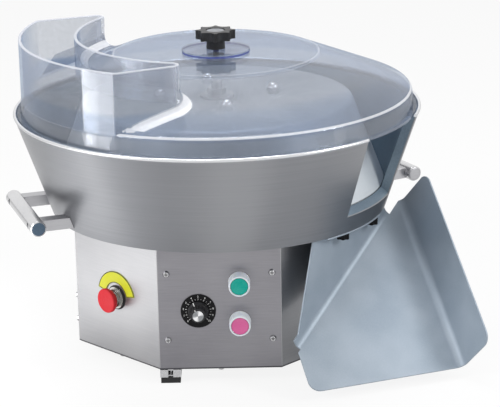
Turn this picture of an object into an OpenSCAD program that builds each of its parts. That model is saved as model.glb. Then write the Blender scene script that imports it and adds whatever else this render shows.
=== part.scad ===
// Conical dough rounder for a bench. A coated cone turns inside a fixed conical bowl. A piece of dough
// dropped through the hopper rolls along the groove between them and leaves over the exit chute.
// Millimetres, +Z up. The origin is on the axis of the cone, level with the undersides of the feet.

/* [Bowl] */
// Outer radius of the bowl at its rim
bowl_top_r = 300; // [292:1:312]
// Outer radius of the bowl at its foot
bowl_foot_r = 249; // [246:1:254]
// Height of the bowl from its foot to its rim
bowl_h = 149; // [140:1:165]
// Thickness of the stainless outer skin, measured level
skin_t = 1.5; // [1:0.1:2]
// Thickness of the coated inner wall, measured level
wall_t = 13; // [11:0.5:15]
// Thickness of the bowl's floor plate
floor_t = 6; // [5:0.5:9]
// Radius of the rolled bead along the rim
bead_r = 2.5; // [2:0.1:3]
// Depth of the lid's ledge below the rim
ledge_drop = 5; // [4.5:0.1:8]
// Direction in which the exit opening begins, in degrees from +X
exit_from = -45; // [-50:1:-40]
// Direction in which the exit opening ends, in degrees from +X
exit_to = -16; // [-20:1:-12]
// Height of the exit sill's outer edge above the foot of the bowl
sill_h = 27; // [22:1:34]
// How much the sill rises towards the cone
sill_rise = 10; // [6:1:14]

/* [Rotor] */
// How much smaller the cone's flat top is than its lower edge, in radius
rotor_taper = 46; // [40:1:58]
// Height of the cone's flat top above the rim of the bowl
rotor_rise = 11; // [6:1:16]
// Wall of the cone casting
rotor_t = 8; // [6:0.5:10]
// Running gap between the cone's lower edge and the bowl
groove_gap = 2; // [1:0.1:3]
// Rounding of the cone's top edge
rotor_edge_r = 8; // [4:0.5:12]
// Depth of the cone's upright lower edge
rotor_skirt_h = 13; // [8:1:16]
// Diameter of the drive shaft
shaft_d = 25; // [22:1:28]
// Radius of the circle of dome nuts that hold the cone
nut_circle_r = 84; // [70:1:90]

/* [Lid] */
// Wall of the clear lid
lid_t = 4; // [3:0.5:5]
// Distance of the lid's shoulder inside the rim of the bowl
lid_shoulder_in = 13; // [12:0.5:16]
// Height of the lid's upright skirt
lid_skirt_h = 29.5; // [26:0.5:36]
// How far the skirt leans out at its foot
lid_draft = 2; // [1:0.5:3]
// Rise of the lid's cone from shoulder to crown
lid_rise = 54.5; // [45:0.5:62]
// Level width of the lid's cone from shoulder to crown
lid_cone_w = 136; // [122:1:152]
// Diameter of the doubling disc under the lid knob
lid_disc_d = 100; // [80:1:120]
// Thickness of the doubling disc
lid_disc_t = 5; // [4:0.5:8]
// Diameter of the lid knob's head
lid_knob_d = 58; // [50:1:66]
// Thickness of the lid knob's head
lid_knob_head_h = 13; // [10:0.5:16]
// Height of the lid knob's neck
lid_knob_neck_h = 14; // [10:0.5:18]
// Diameter of the lid knob's neck
lid_knob_neck_d = 28; // [22:1:32]

/* [Hopper] */
// Height of the hopper's mouth above the lid's shoulder
hopper_h = 83.5; // [70:0.5:95]
// Width of the hopper from its inner wall to the lid's shoulder
hopper_w = 85; // [79:1:93]
// Direction that the hopper's front end wall faces, in degrees from +X
hopper_front_az = 295; // [292:1:298]
// Distance of the front end wall inside the lid's shoulder
hopper_front_in = 113; // [109:1:119]
// Direction that the hopper's back end wall faces, in degrees from +X
hopper_back_az = 110; // [107:1:113]
// Distance of the back end wall inside the lid's shoulder
hopper_back_in = 105; // [103:1:113]
// Rounding of the hopper's corners
hopper_corner_r = 13; // [10:1:16]
// Fillet at the foot of the hopper's inner wall
hopper_fillet_r = 20; // [14:1:23]

/* [Base] */
// Distance of the octagonal base's flats inside the foot of the bowl
base_in = 38; // [36:0.5:41]
// Height of the base housing
base_h = 186; // [180:1:200]
// Thickness of the base's sheet
sheet_t = 1.5; // [1.2:0.1:2]
// Thickness of the front panel
panel_t = 1.5; // [1.2:0.1:2]
// Width of the flange that carries the bowl
top_flange_w = 20; // [18:1:24]
// Width of the hem that holds the bottom plate
hem_w = 16; // [14:1:20]
// Thickness of the bottom plate
bottom_t = 1.5; // [1.2:0.1:2]
// Distance of the panel screws from the side edges of the panel
panel_screw_in = 11.9; // [9:0.1:15]
// Height of the lower panel screws above the foot of the base
panel_screw_low = 44.5; // [38:0.5:50]
// Distance of the upper panel screws below the top of the base
panel_screw_drop = 42.5; // [36:0.5:48]

/* [Feet] */
// Height of a foot's rubber pad
pad_h = 9; // [6:0.5:12]
// Width of a foot's rubber pad
pad_w = 28; // [24:1:30]
// Height of a foot's channel
channel_h = 11.5; // [9:0.5:14]
// Width of a foot's channel
channel_w = 30; // [28:1:34]
// Wall of a foot's channel
channel_t = 2.5; // [2:0.1:3]
// Diameter of the bench fixing hole through a foot
foot_hole_d = 7; // [6:0.1:8]

/* [Controls] */
// Place of the speed dial left of the panel's middle, as a share of half the face
dial_share = 0.349; // [0.31:0.001:0.38]
// Distance of the speed dial below the top of the base
dial_drop = 98; // [92:0.5:104]
// Diameter of the dial's scale plate
dial_d = 50; // [44:1:54]
// Diameter of the dial knob's skirt
knob_skirt_d = 30; // [27:0.5:33]
// Diameter of the dial knob's grip
knob_grip_d = 21; // [19:0.5:24]
// Length of the dial knob
knob_len = 18; // [15:0.5:20]
// Place of the buttons right of the panel's middle, as a share of half the face
button_share = 0.3227; // [0.29:0.001:0.36]
// Distance of the start button below the top of the base
start_drop = 54.5; // [51:0.5:58]
// Distance of the stop button below the start button
button_step = 59; // [54:0.5:62]
// Outer diameter of a button's clear guard
guard_d = 31; // [30:0.5:34]
// Height of a button's clear guard
guard_h = 20.5; // [17:0.5:23]
// Diameter of a button's cap
cap_d = 24.6; // [23:0.2:25]
// Depth of a button cap's face behind the rim of its guard
cap_in = 0.5; // [0.3:0.1:2]
// Distance of the emergency stop below the top of the base
estop_drop = 98; // [91:0.5:104]
// Diameter of the emergency stop's head
estop_d = 36; // [34:1:40]
// Height of the emergency stop's head
estop_head_h = 10.5; // [9:0.5:13]
// Outer radius of the emergency stop's legend arc
legend_r = 39; // [36:0.5:42]

/* [Drive] */
// Running radius of the pulley on the drive shaft, as a share of the distance between the shafts
driven_share = 0.576; // [0.53:0.001:0.62]
// Running radius of the motor's pulley, as a share of the distance between the shafts
motor_pulley_share = 0.192; // [0.18:0.001:0.21]
// Diameter of the motor
motor_d = 120; // [110:1:126]
// Distance of the motor from the back wall of the base
motor_back = 24.5; // [19:0.5:29]
// Height of the motor above the bottom plate
motor_low = 23; // [16:1:38]
// Width of the belt
belt_w = 20; // [16:1:22]
// Thickness of the belt
belt_t = 4; // [3:0.5:5]

/* [Handles] */
// Direction of the left handle, in degrees from +X
left_handle_az = 198; // [192:1:204]
// Direction of the right handle, in degrees from +X
right_handle_az = 29; // [26:1:34]
// Diameter of the handle's bar
bar_d = 23; // [20:0.5:26]
// Length of the handle's bar
bar_len = 168; // [156:1:176]
// Chamfer round both ends of a handle bar
bar_chamfer = 1.5; // [0.5:0.1:3]
// Level distance of the bar's middle from the skin of the bowl
bar_out = 41.2; // [34:0.2:48]
// Height of the handles above the foot of the bowl
handle_z = 14; // [12:0.5:18]
// Distance of a bracket from the middle of its bar
bracket_x = 62; // [56:1:66]
// Width of a bracket along the bar
bracket_w = 20; // [16:0.5:22]
// Height of a bracket
bracket_h = 16; // [13:0.5:18]

/* [Chute] */
// Direction that the chute's floor faces, in degrees from +X
chute_az = -69; // [-71:0.5:-67]
// Slope of the chute's floor
chute_slope = 43; // [41:0.5:44]
// Height of the chute's lower edge above the bench
chute_lift = 16.4; // [12:0.1:24]
// Width of the chute's floor at its mouth
chute_w = 235; // [225:1:245]
// Height of the chute's side wall
chute_wall_h = 78; // [65:1:85]
// How far the side wall is folded up out of the floor
chute_wall_fold = 80; // [74:1:86]
// Direction that the chute's flap faces, in degrees from +X
flap_az = -34.25; // [-36:0.25:-33]
// Thickness of the chute's sheet
chute_t = 2; // [1.5:0.1:2.4]
// Inside radius of the chute's folds
chute_bend_r = 12; // [8:1:14]
// Rounding of the chute's free corners
chute_corner_r = 16; // [10:1:20]
// Distance of the chute's upper corner outside the foot of the bowl
chute_reach = 23.7; // [23:0.1:26]
// Direction of the chute's upper corner, in degrees from +X
chute_corner_az = -4.1; // [-4.6:0.1:-3.6]
// Diameter of the thumb knobs under the chute's flange
thumb_d = 18.5; // [16:0.5:19]
// Height of a thumb knob's head
thumb_h = 9.5; // [8:0.5:12]

/* [Hidden] */
$fn = 96;
// One overrun serves all cuts
over = 1;
// Gap of parts that are pressed or slid together and stay there
seat = 0.1;
// Radial clearance of a running fit
run = 0.06;
// Clear distance between curved faces that move past each other
clear = 0.4;
// Turns in degrees
half_turn = 180;
full_turn = 360;

// Levels and radii of the bowl
foot_h = pad_h + channel_h + bottom_t;
bowl_z = foot_h + base_h;
rim_z = bowl_z + bowl_h;
floor_z = bowl_z + floor_t;
ledge_z = rim_z - ledge_drop;
sill_out_z = bowl_z + sill_h;
sill_in_z = sill_out_z + sill_rise;
sill_drop = 2;
function skin_r(z) = bowl_foot_r + (bowl_top_r - bowl_foot_r) * (z - bowl_z) / bowl_h;
function wall_out_r(z) = skin_r(z) - skin_t - seat;
function wall_in_r(z) = wall_out_r(z) - wall_t;
groove_r = wall_in_r(sill_in_z);
skirt_z = sill_in_z - rotor_skirt_h;

// Levels of the rotor and its bearings
rotor_z = rim_z + rotor_rise;
rotor_foot_r = groove_r - groove_gap;
rotor_skirt_r = wall_in_r(skirt_z) - groove_gap;
rotor_top_r = rotor_foot_r - rotor_taper;
shaft_r = shaft_d / 2;
bearing_w = 15;
bearing_r = 26;
housing_wall = 10;
housing_r = bearing_r + housing_wall;
housing_flange_r = 66;
housing_flange_t = 8;
housing_lip = 4;
seal_h = 5;
hub_len = 51;
hub_flange_t = 8;
hub_flange_out = 20;
hub_flange_r = nut_circle_r + hub_flange_out;
hub_r = 32;
hub_top_z = rotor_z - rotor_t;
hub_foot_z = hub_top_z - hub_len;
housing_z = hub_foot_z - seal_h - housing_lip;
housing_h = housing_z - floor_z;
stud_r = 8;
stud_h = 20;
dome_nut_af = 17;
dome_nut_h = 8;
dome_nut_stud_r = 5;
dome_nut_count = 4;
dome_nut_az = 10;
shaft_nut_af = 24;
shaft_nut_h = 9;
shaft_washer_r = 25;
shaft_washer_t = 4;

// Levels of the lid and its hopper
shoulder_z = ledge_z + lid_skirt_h;
crown_z = shoulder_z + lid_rise;
hopper_z = shoulder_z + hopper_h;
lid_play = 1;
lid_flange_r = bowl_top_r - 2 * bead_r - lid_play;
lid_shoulder_r = bowl_top_r - lid_shoulder_in;
lid_crown_r = lid_shoulder_r - lid_cone_w;
shoulder_round = 7;
hopper_inner_r = lid_shoulder_r - hopper_w;
hopper_front_d = lid_shoulder_r - hopper_front_in;
hopper_back_d = lid_shoulder_r - hopper_back_in;
hopper_t_share = 1.1;
hopper_t = lid_t * hopper_t_share;
corner_share = 0.96;
ease_share = 1.03;
fillet_sink_share = 0.083;
foot_sink_share = 0.2;
foot_round = 8;
lid_stud_r = 4;
lid_nut_af = 13;
lid_nut_h = 7;
lid_washer_r = 12;
lid_washer_t = 2;
lid_knob_lobes = 8;
lid_knob_dish_r = 14;
lid_knob_dish = 2;
function lid_cone_z(r) = shoulder_z + lid_rise * (lid_shoulder_r - r) / (lid_shoulder_r - lid_crown_r);

// Base housing
base_a = bowl_foot_r - base_in;
octagon_half = 22.5;
face_half_w = base_a * tan(octagon_half);
panel_gap = 1;
panel_low_gap = 2;
panel_high_gap = 3;
panel_screw_x = face_half_w - panel_gap - panel_screw_in;
panel_screw_high = base_h - panel_screw_drop;
opening_in = 12.5;
opening_half_w = panel_screw_x - opening_in;
opening_low = 18;
opening_drop = 16;
opening_high = base_h - opening_drop;
panel_y = base_a + panel_t;
screw_r = 2.2;
screw_head_r = 5;
screw_crown_share = 0.7;
screw_head_h = 3;
cross_share = 0.54;
cross_w = 1.3;
cross_depth = 1.5;
screw_len = 8;
bottom_inset = 2;
bottom_screw_in = 8;
floor_screw_in = 11;
foot_in = channel_w / 2;
foot_slot_w = 7;
foot_x = face_half_w - foot_in;
foot_y = base_a - foot_in;
gland_x = 60;
gland_up = 40;
gland_z = foot_h + gland_up;
gland_bore_r = 5;
gland_hex_af = 24;
gland_hex_h = 6;
gland_dome_r = 10.5;
gland_dome_h = 14;
gland_thread_r = 8;
gland_nut_h = 5;

// Controls
dial_x = face_half_w * dial_share;
dial_z = base_h - dial_drop;
button_x = face_half_w * button_share;
start_z = base_h - start_drop;
stop_z = start_z - button_step;
estop_z = base_h - estop_drop;
guard_taper = 0.5;
guard_rim_r = 1.2;
cap_dish = 1.2;
cap_edge_r = 0.8;
star_bay_share = 0.42;
star_place_share = 0.6;
pot_bush_r = 4.7;
pot_shaft_r = 3;
pot_body_r = 12;
pot_body_h = 16;
pot_nut_r = 7;
pot_nut_h = 2.5;
dial_plate_t = 1.2;
knob_skirt_h = 4;
knob_flutes = 16;
knob_flute_r = 1.4;
knob_cap_r = 7.75;
knob_cap_h = 1;
knob_back = dial_plate_t + pot_nut_h + clear;
ring_h = 5;
barrel_r = 11;
barrel_len = 18;
barrel_nut_r = 14;
barrel_nut_h = 4;
button_stem_r = 6;
button_travel = 4;
block_w = 30;
block_h = 42;
block_d = 34;
estop_travel = 4;
estop_ring_r = 16;
estop_ring_h = 3;
estop_collar_r = 13.5;
estop_collar_h = 7;
estop_stem_r = 7;
estop_sleeve_r = 11;
estop_taper = 4;
estop_stem_back = 12;
estop_low_round = 1;
estop_side_round = 1.5;
estop_top_round = 2;
legend_t = 1;
legend_in_r = 22;
legend_end = 12;

// Drive
motor_y = base_a - sheet_t - motor_back - motor_d / 2;
driven_r = motor_y * driven_share;
motor_pulley_r = motor_y * motor_pulley_share;
belt_play = 2;
pulley_w = belt_w + 2 * belt_play;
pulley_lip = 5;
pulley_lip_w = 1.6;
pulley_drop = 16;
pulley_top = bowl_z - pulley_drop;
pulley_z = pulley_top - pulley_w;
pulley_hub_r = 26;
pulley_web_t = 8;
motor_shaft_r = 7;
plate_t = 6;
plate_drop = 18;
plate_z = pulley_z - plate_drop;
motor_len = plate_z - foot_h - motor_low;
standoff_r = 7;
standoff_x = 64;
standoff_y = 42;
motor_shield_h = 10;
motor_fin_count = 28;
motor_fin_t = 2.5;
motor_fin_h = 5;
motor_shaft_in = 40;
drive_box = [68, 86, 110];
drive_low = 18;
drive_gap = 3;
drive_y = drive_box[1] / 2 + drive_gap - (base_a - sheet_t) * tan(octagon_half);
drive_fins = 9;
drive_fin_h = 20;
drive_screw_in = 12.4;
drive_screw_across = 60;
drive_screw_rise = 37;
drive_screw_low = 30;
terminal_box = [92, 32, 34];
terminal_x = 30;
terminal_back = 99;
terminal_ways = 7;

// Chute frame: x runs down the slope of the floor, y level along the mouth, z square to the floor
chute_corner = [for (v = [cos(chute_corner_az), sin(chute_corner_az)]) v * (bowl_foot_r + chute_reach)];
chute_down = [cos(chute_slope) * cos(chute_az), cos(chute_slope) * sin(chute_az), -sin(chute_slope)];
chute_side = [-sin(chute_az), cos(chute_az), 0];
chute_up = [sin(chute_slope) * cos(chute_az), sin(chute_slope) * sin(chute_az), cos(chute_slope)];
chute_gap = 0.5;
chute_len = (bowl_z - chute_gap - chute_lift) / sin(chute_slope);
chute_top = concat(chute_corner, [bowl_z - chute_gap]);
flap_out = [cos(flap_az), sin(flap_az), 0];
flap_along = [sin(flap_az), -cos(flap_az), 0];
flap_gap = 1.26;
flap_d = base_a / cos(octagon_half) * cos(flap_az + octagon_half) + chute_t + flap_gap;
flap_fold = acos(chute_up * flap_out);
fold_dir = unit(cross(flap_out, chute_up));
fold_fall = asin(-fold_dir[2]);
fold_turn = atan2(fold_dir * chute_side, fold_dir * chute_down);
fold_x = 15;
fold_y = (flap_d - (chute_top + chute_down * fold_x) * flap_out) / (chute_side * flap_out);
fold_len = (chute_w + fold_y) / -(fold_dir * chute_side);
fold_top = chute_top + chute_down * fold_x + chute_side * fold_y;
flap_top_x = 97;
flange_out = 1;
flange_r = bowl_foot_r + flange_out;
flange_left_az = -52;
flange_right_az = -20;
flap_inlay = 0.05;
thumb_gap = 0.8;
thumb_out = flap_d + thumb_d / 2 + thumb_gap;
thumb_left_x = 33;
thumb_right_x = -47;
thumb_lobes = 6;
thumb_stud_r = 2.5;

// Handles
handle_r = skin_r(bowl_z + handle_z);
handle_foot_r = sqrt(pow(handle_r, 2) - pow(bracket_x, 2));
bolt_bite = 9;
bar_r = handle_r + bar_out;
slot_r = 5;
slot_depth = 6;
handle_bolt_r = 3;
handle_bolt_head_r = 4.6;
handle_bolt_head_h = 4;

// Points of an outline with its corners rounded, each by its own radius
arc_steps = 6;
function unit(v) = v / norm(v);
function corner_arc(a, p, b, r) =
    let (u = unit(a - p), v = unit(b - p), half = acos(u * v) / 2)
    let (c = p + unit(u + v) * r / sin(half))
    let (s = p + u * r / tan(half) - c, e = p + v * r / tan(half) - c, turn = half_turn - 2 * half)
    [
        for (i = [0:arc_steps])
            let (at = turn * i / arc_steps)
            c + (s * sin(turn - at) + e * sin(at)) / sin(turn)
    ];
function rounded(pts, radii) = [
    for (i = [0:len(pts) - 1])
        let (a = pts[(i + len(pts) - 1) % len(pts)], b = pts[(i + 1) % len(pts)])
        each (radii[i] > 0 ? corner_arc(a, pts[i], b, radii[i]) : [pts[i]])
];

// Shapes that repeat
module octagon(a) rotate(octagon_half) circle(r = a / cos(octagon_half), $fn = 8);

module ring(r_out, r_in, h) difference() {
    cylinder(r = r_out, h = h);
    translate([0, 0, -over]) cylinder(r = r_in, h = h + 2 * over);
}

// A hole square through a wall whose outer face is at z = 0
module wall_hole(r, wall) translate([0, 0, -wall - over]) cylinder(r = r + seat, h = wall + 2 * over);

module hex(af, h) cylinder(d = af / cos(30), h = h, $fn = 6);

// A face of the base, local z pointing out of it and local x to the viewer's right
module on_face(turn, out, x, z) rotate([0, 0, turn]) translate([x, -out, z]) rotate([90, 0, 0]) children();

module on_panel(x, z) on_face(0, panel_y, x, foot_h + z) children();

module on_left_face() on_face(-45, base_a, 0, foot_h + estop_z) children();

module pan_screw(len) {
    difference() {
        cylinder(r1 = screw_head_r, r2 = screw_head_r * screw_crown_share, h = screw_head_h);
        for (turn = [0, 90]) rotate(turn)
            translate([-screw_head_r * cross_share, -cross_w / 2, screw_head_h - cross_depth])
                cube([2 * screw_head_r * cross_share, cross_w, cross_depth + over]);
    }
    translate([0, 0, -len]) cylinder(r = screw_r, h = len);
}

module dome_nut(af, h, stud, stud_len) {
    hex(af, h);
    translate([0, 0, h]) intersection() {
        sphere(d = af);
        cylinder(d = af, h = af);
    }
    translate([0, 0, -stud_len]) cylinder(r = stud, h = stud_len);
}

// Plan of a star knob: a disc with round bays between its lobes
module star(d, lobes) difference() {
    circle(d = d);
    for (i = [0:lobes - 1])
        rotate((i + 0.5) * full_turn / lobes) translate([d * star_place_share, 0])
            circle(d = d * star_bay_share);
}

module panel_screw_places() for (x = [-1, 1], z = [panel_screw_low, panel_screw_high])
    on_panel(x * panel_screw_x, z) children();

module drive_screw_places() for (x = [0, 1], z = [0, 1])
    on_face(
        -90,
        base_a,
        face_half_w - drive_screw_in - x * drive_screw_across,
        foot_h + drive_screw_low + z * drive_screw_rise
    )
        children();

module bottom_screw_places() for (i = [0:7])
    rotate(i * 45) translate([0, base_a - bottom_screw_in, foot_h - bottom_t]) children();

module floor_screw_places() for (i = [0:7])
    rotate(i * 45) translate([0, base_a - floor_screw_in, bowl_z - sheet_t]) children();

module foot_places() for (i = [0:3]) rotate(i * 90) translate([-foot_x, -foot_y, 0]) children();

module gland_place() on_face(half_turn, base_a, gland_x, gland_z) children();

// Base
module base_housing() color("lightgray") difference() {
    translate([0, 0, foot_h]) union() {
        linear_extrude(base_h) difference() {
            octagon(base_a);
            octagon(base_a - sheet_t);
        }
        translate([0, 0, base_h - sheet_t]) linear_extrude(sheet_t) difference() {
            octagon(base_a);
            octagon(base_a - top_flange_w);
        }
        linear_extrude(sheet_t) difference() {
            octagon(base_a);
            octagon(base_a - hem_w);
        }
    }
    translate([-opening_half_w, -base_a - over, foot_h + opening_low])
        cube([2 * opening_half_w, sheet_t + 2 * over, opening_high - opening_low]);
    panel_screw_places() wall_hole(screw_r, screw_len);
    drive_screw_places() wall_hole(screw_r, screw_len);
    bottom_screw_places() cylinder(r = screw_r + seat, h = screw_len);
    floor_screw_places() translate([0, 0, -over]) cylinder(r = screw_r + seat, h = screw_len);
    on_left_face() wall_hole(barrel_r, sheet_t);
    gland_place() wall_hole(gland_thread_r, sheet_t);
}

module front_panel() color("silver") difference() {
    translate([-face_half_w + panel_gap, -panel_y, foot_h + panel_low_gap])
        cube([2 * (face_half_w - panel_gap), panel_t, base_h - panel_low_gap - panel_high_gap]);
    panel_screw_places() wall_hole(screw_r, panel_t);
    on_panel(-dial_x, dial_z) wall_hole(pot_bush_r, panel_t);
    button_places() wall_hole(barrel_r, panel_t);
}

module panel_screws() color("gainsboro") panel_screw_places() pan_screw(screw_len);

module drive_screws() color("gainsboro") drive_screw_places() pan_screw(screw_len);

module bottom_plate() color("darkgray") difference() {
    translate([0, 0, foot_h - bottom_t]) linear_extrude(bottom_t) octagon(base_a - bottom_inset);
    bottom_screw_places() translate([0, 0, -over]) cylinder(r = screw_r + seat, h = screw_len);
}

module bottom_screws() color("gainsboro") bottom_screw_places() rotate([half_turn, 0, 0])
    pan_screw(screw_len);

module foot_channels() color("gainsboro") foot_places() difference() {
    translate([-channel_w / 2, -channel_w / 2, pad_h]) cube([channel_w, channel_w, channel_h]);
    translate([channel_t - channel_w / 2, channel_t - channel_w / 2, pad_h + channel_t])
        cube([channel_w - 2 * channel_t, channel_w - 2 * channel_t, channel_h - 2 * channel_t]);
    for (y = [-1, 1]) translate([-foot_slot_w / 2, y * (channel_w - channel_t) / 2, pad_h - over])
        translate([0, -channel_t / 2 - over, 0])
            cube([foot_slot_w, channel_t + 2 * over, channel_h + 2 * over]);
    cylinder(d = foot_hole_d, h = pad_h + channel_t + over);
}

module foot_pads() color("black") foot_places() difference() {
    translate([-pad_w / 2, -pad_w / 2, 0]) cube([pad_w, pad_w, pad_h]);
    translate([0, 0, -over]) cylinder(d = foot_hole_d, h = pad_h + 2 * over);
}

module cable_gland() color("dimgray") gland_place() difference() {
    union() {
        hex(gland_hex_af, gland_hex_h);
        translate([0, 0, gland_hex_h]) cylinder(r1 = gland_dome_r, r2 = gland_thread_r, h = gland_dome_h);
        translate([0, 0, -sheet_t - gland_nut_h]) {
            cylinder(r = gland_thread_r, h = sheet_t + gland_nut_h + over);
            hex(gland_hex_af, gland_nut_h);
        }
    }
    translate([0, 0, -sheet_t - gland_nut_h - over])
        cylinder(r = gland_bore_r, h = sheet_t + gland_nut_h + gland_hex_h + gland_dome_h + 2 * over);
}

// Bowl
// The sector that the exit opening takes out of the bowl, above its sloping sill
module exit_sector() rotate(exit_from) rotate_extrude(angle = exit_to - exit_from) polygon([
    [groove_r - wall_t, sill_in_z + sill_rise],
    [groove_r + wall_t, sill_out_z - sill_drop],
    [bowl_top_r + wall_t, sill_out_z - sill_drop],
    [bowl_top_r + wall_t, rim_z + over],
    [groove_r - wall_t, rim_z + over]
]);

module bowl_floor() color("silver") difference() {
    translate([0, 0, bowl_z]) cylinder(r = bowl_foot_r - skin_t - seat, h = floor_t);
    translate([0, 0, bowl_z - over]) cylinder(r = shaft_r + housing_lip, h = floor_t + 2 * over);
    floor_screw_places() translate([0, 0, -over]) cylinder(r = screw_r + seat, h = screw_len + over);
    housing_screw_places() wall_hole(screw_r, housing_flange_t + floor_t);
    for (x = [thumb_left_x, thumb_right_x])
        thumb_place(x) cylinder(r = thumb_stud_r + run, h = floor_t + chute_t + over);
}

module floor_screws() color("gainsboro") floor_screw_places() rotate([half_turn, 0, 0])
    pan_screw(screw_len - sheet_t);

module bowl_skin() color("silver") difference() {
    rotate_extrude() union() {
        polygon([
            [bowl_foot_r - skin_t, bowl_z],
            [bowl_foot_r, bowl_z],
            [skin_r(rim_z - bead_r), rim_z - bead_r],
            [skin_r(rim_z - bead_r) - skin_t, rim_z - bead_r]
        ]);
        translate([bowl_top_r - bead_r, rim_z - bead_r]) circle(r = bead_r);
    }
    exit_sector();
    handle_places() for (x = [-1, 1]) translate([0, x * bracket_x, 0])
        handle_bolt_line(handle_bolt_r + seat, bar_r);
}

module bowl_wall() color("slategray") difference() {
    rotate_extrude() polygon([
        [wall_in_r(floor_z), floor_z],
        [wall_out_r(floor_z), floor_z],
        [wall_out_r(ledge_z), ledge_z],
        [wall_in_r(ledge_z), ledge_z]
    ]);
    exit_sector();
    handle_places() for (x = [-1, 1]) translate([0, x * bracket_x, 0])
        handle_bolt_line(handle_bolt_r + seat, bar_r);
}

module housing_screw_places() for (i = [0:5]) rotate(30 + i * 60)
    translate([(housing_r + housing_flange_r) / 2, 0, floor_z + housing_flange_t]) children();

module bearing_housing() color("darkgray") difference() {
    translate([0, 0, floor_z]) union() {
        cylinder(r = housing_flange_r, h = housing_flange_t);
        cylinder(r = housing_r, h = housing_h);
    }
    translate([0, 0, floor_z - over]) cylinder(r = bearing_r - housing_lip, h = housing_h + 2 * over);
    translate([0, 0, floor_z - over]) cylinder(r = bearing_r + seat, h = bearing_w + over);
    translate([0, 0, housing_z - bearing_w]) cylinder(r = bearing_r + seat, h = bearing_w + over);
    housing_screw_places() wall_hole(screw_r, housing_flange_t);
}

module housing_screws() color("gainsboro") housing_screw_places()
    pan_screw(housing_flange_t + floor_t - over);

module shaft_bearings() color("silver") for (z = [floor_z, housing_z - bearing_w]) translate([0, 0, z])
    ring(bearing_r, shaft_r + run, bearing_w);

module shaft_seal() color("black") translate([0, 0, housing_z])
    ring(housing_r - housing_lip, shaft_r + run, seal_h);

// Rotor
module rotor_cone() color("slategray") difference() {
    rotate_extrude() polygon(rounded(
        [
            [stud_r + seat, hub_top_z],
            [stud_r + seat, rotor_z],
            [rotor_top_r, rotor_z],
            [rotor_foot_r, sill_in_z],
            [rotor_skirt_r, skirt_z],
            [rotor_skirt_r - rotor_t, skirt_z],
            [rotor_foot_r - rotor_t, sill_in_z],
            [rotor_top_r - rotor_t, hub_top_z]
        ],
        [0, 0, rotor_edge_r, 0, 0, 0, 0, 0]
    ));
    rotor_nut_places() wall_hole(dome_nut_stud_r, rotor_t);
}

module rotor_nut_places() for (i = [0:dome_nut_count - 1])
    rotate(dome_nut_az + i * full_turn / dome_nut_count)
    translate([nut_circle_r, 0, rotor_z]) children();

module rotor_hub() color("darkgray") difference() {
    union() {
        translate([0, 0, hub_top_z - hub_flange_t]) cylinder(r = hub_flange_r, h = hub_flange_t);
        translate([0, 0, hub_foot_z]) cylinder(r = hub_r, h = hub_top_z - hub_foot_z);
    }
    translate([0, 0, hub_foot_z - over]) cylinder(r = shaft_r + seat, h = hub_top_z - hub_foot_z + 2 * over);
    rotor_nut_places() wall_hole(dome_nut_stud_r, rotor_t + hub_flange_t);
}

module drive_shaft() color("silver") {
    translate([0, 0, pulley_z - over]) cylinder(r = shaft_r, h = hub_top_z - pulley_z + over);
    translate([0, 0, hub_top_z]) cylinder(r = stud_r, h = rotor_t + shaft_washer_t + stud_h);
}

module driven_pulley() color("dimgray") difference() {
    translate([0, 0, pulley_z]) pulley(driven_r);
    translate([0, 0, pulley_z - over]) cylinder(r = shaft_r + seat, h = pulley_w + 2 * over);
    for (z = [-over, (pulley_w + pulley_web_t) / 2]) translate([0, 0, pulley_z + z])
        ring(driven_r - pulley_lip, pulley_hub_r, (pulley_w - pulley_web_t) / 2 + over);
}

// A flat belt pulley with a lip at each edge
module pulley(r) {
    cylinder(r = r, h = pulley_w);
    cylinder(r = r + pulley_lip, h = pulley_lip_w);
    translate([0, 0, pulley_w - pulley_lip_w]) cylinder(r = r + pulley_lip, h = pulley_lip_w);
}

module rotor_nuts() color("gainsboro") rotor_nut_places()
    dome_nut(dome_nut_af, dome_nut_h, dome_nut_stud_r, rotor_t + hub_flange_t);

module shaft_nut() color("gainsboro") translate([0, 0, rotor_z]) difference() {
    union() {
        cylinder(r = shaft_washer_r, h = shaft_washer_t);
        translate([0, 0, shaft_washer_t]) hex(shaft_nut_af, shaft_nut_h);
    }
    translate([0, 0, -over]) cylinder(r = stud_r + seat, h = shaft_washer_t + shaft_nut_h + 2 * over);
}

// Drive
module motor_plate() color("gray") difference() {
    translate([-standoff_x - standoff_r, motor_y - standoff_y - standoff_r, plate_z])
        cube([2 * (standoff_x + standoff_r), 2 * (standoff_y + standoff_r), plate_t]);
    translate([0, motor_y, plate_z - over]) cylinder(r = 2 * motor_shaft_r, h = plate_t + 2 * over);
}

module motor_standoffs() color("silver") for (x = [-1, 1], y = [-1, 1])
    translate([x * standoff_x, motor_y + y * standoff_y, plate_z + plate_t])
        cylinder(r = standoff_r, h = bowl_z - plate_z - plate_t);

module motor_body() color("dimgray") translate([0, motor_y, plate_z - motor_len]) difference() {
    translate([0, 0, motor_shield_h]) linear_extrude(motor_len - 2 * motor_shield_h) union() {
        circle(r = motor_d / 2 - motor_fin_h);
        for (i = [0:motor_fin_count - 1]) rotate(i * full_turn / motor_fin_count)
            translate([0, -motor_fin_t / 2]) square([motor_d / 2, motor_fin_t]);
    }
    translate([0, 0, motor_len - motor_shaft_in - over])
        cylinder(r = motor_shaft_r + clear, h = motor_shaft_in + over);
}

module motor_shields() color("darkgray") translate([0, motor_y, plate_z - motor_len]) {
    cylinder(r = motor_d / 2 - motor_fin_h, h = motor_shield_h);
    translate([0, 0, motor_len - motor_shield_h])
        ring(motor_d / 2 - motor_fin_h, motor_shaft_r + run, motor_shield_h);
}

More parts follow.
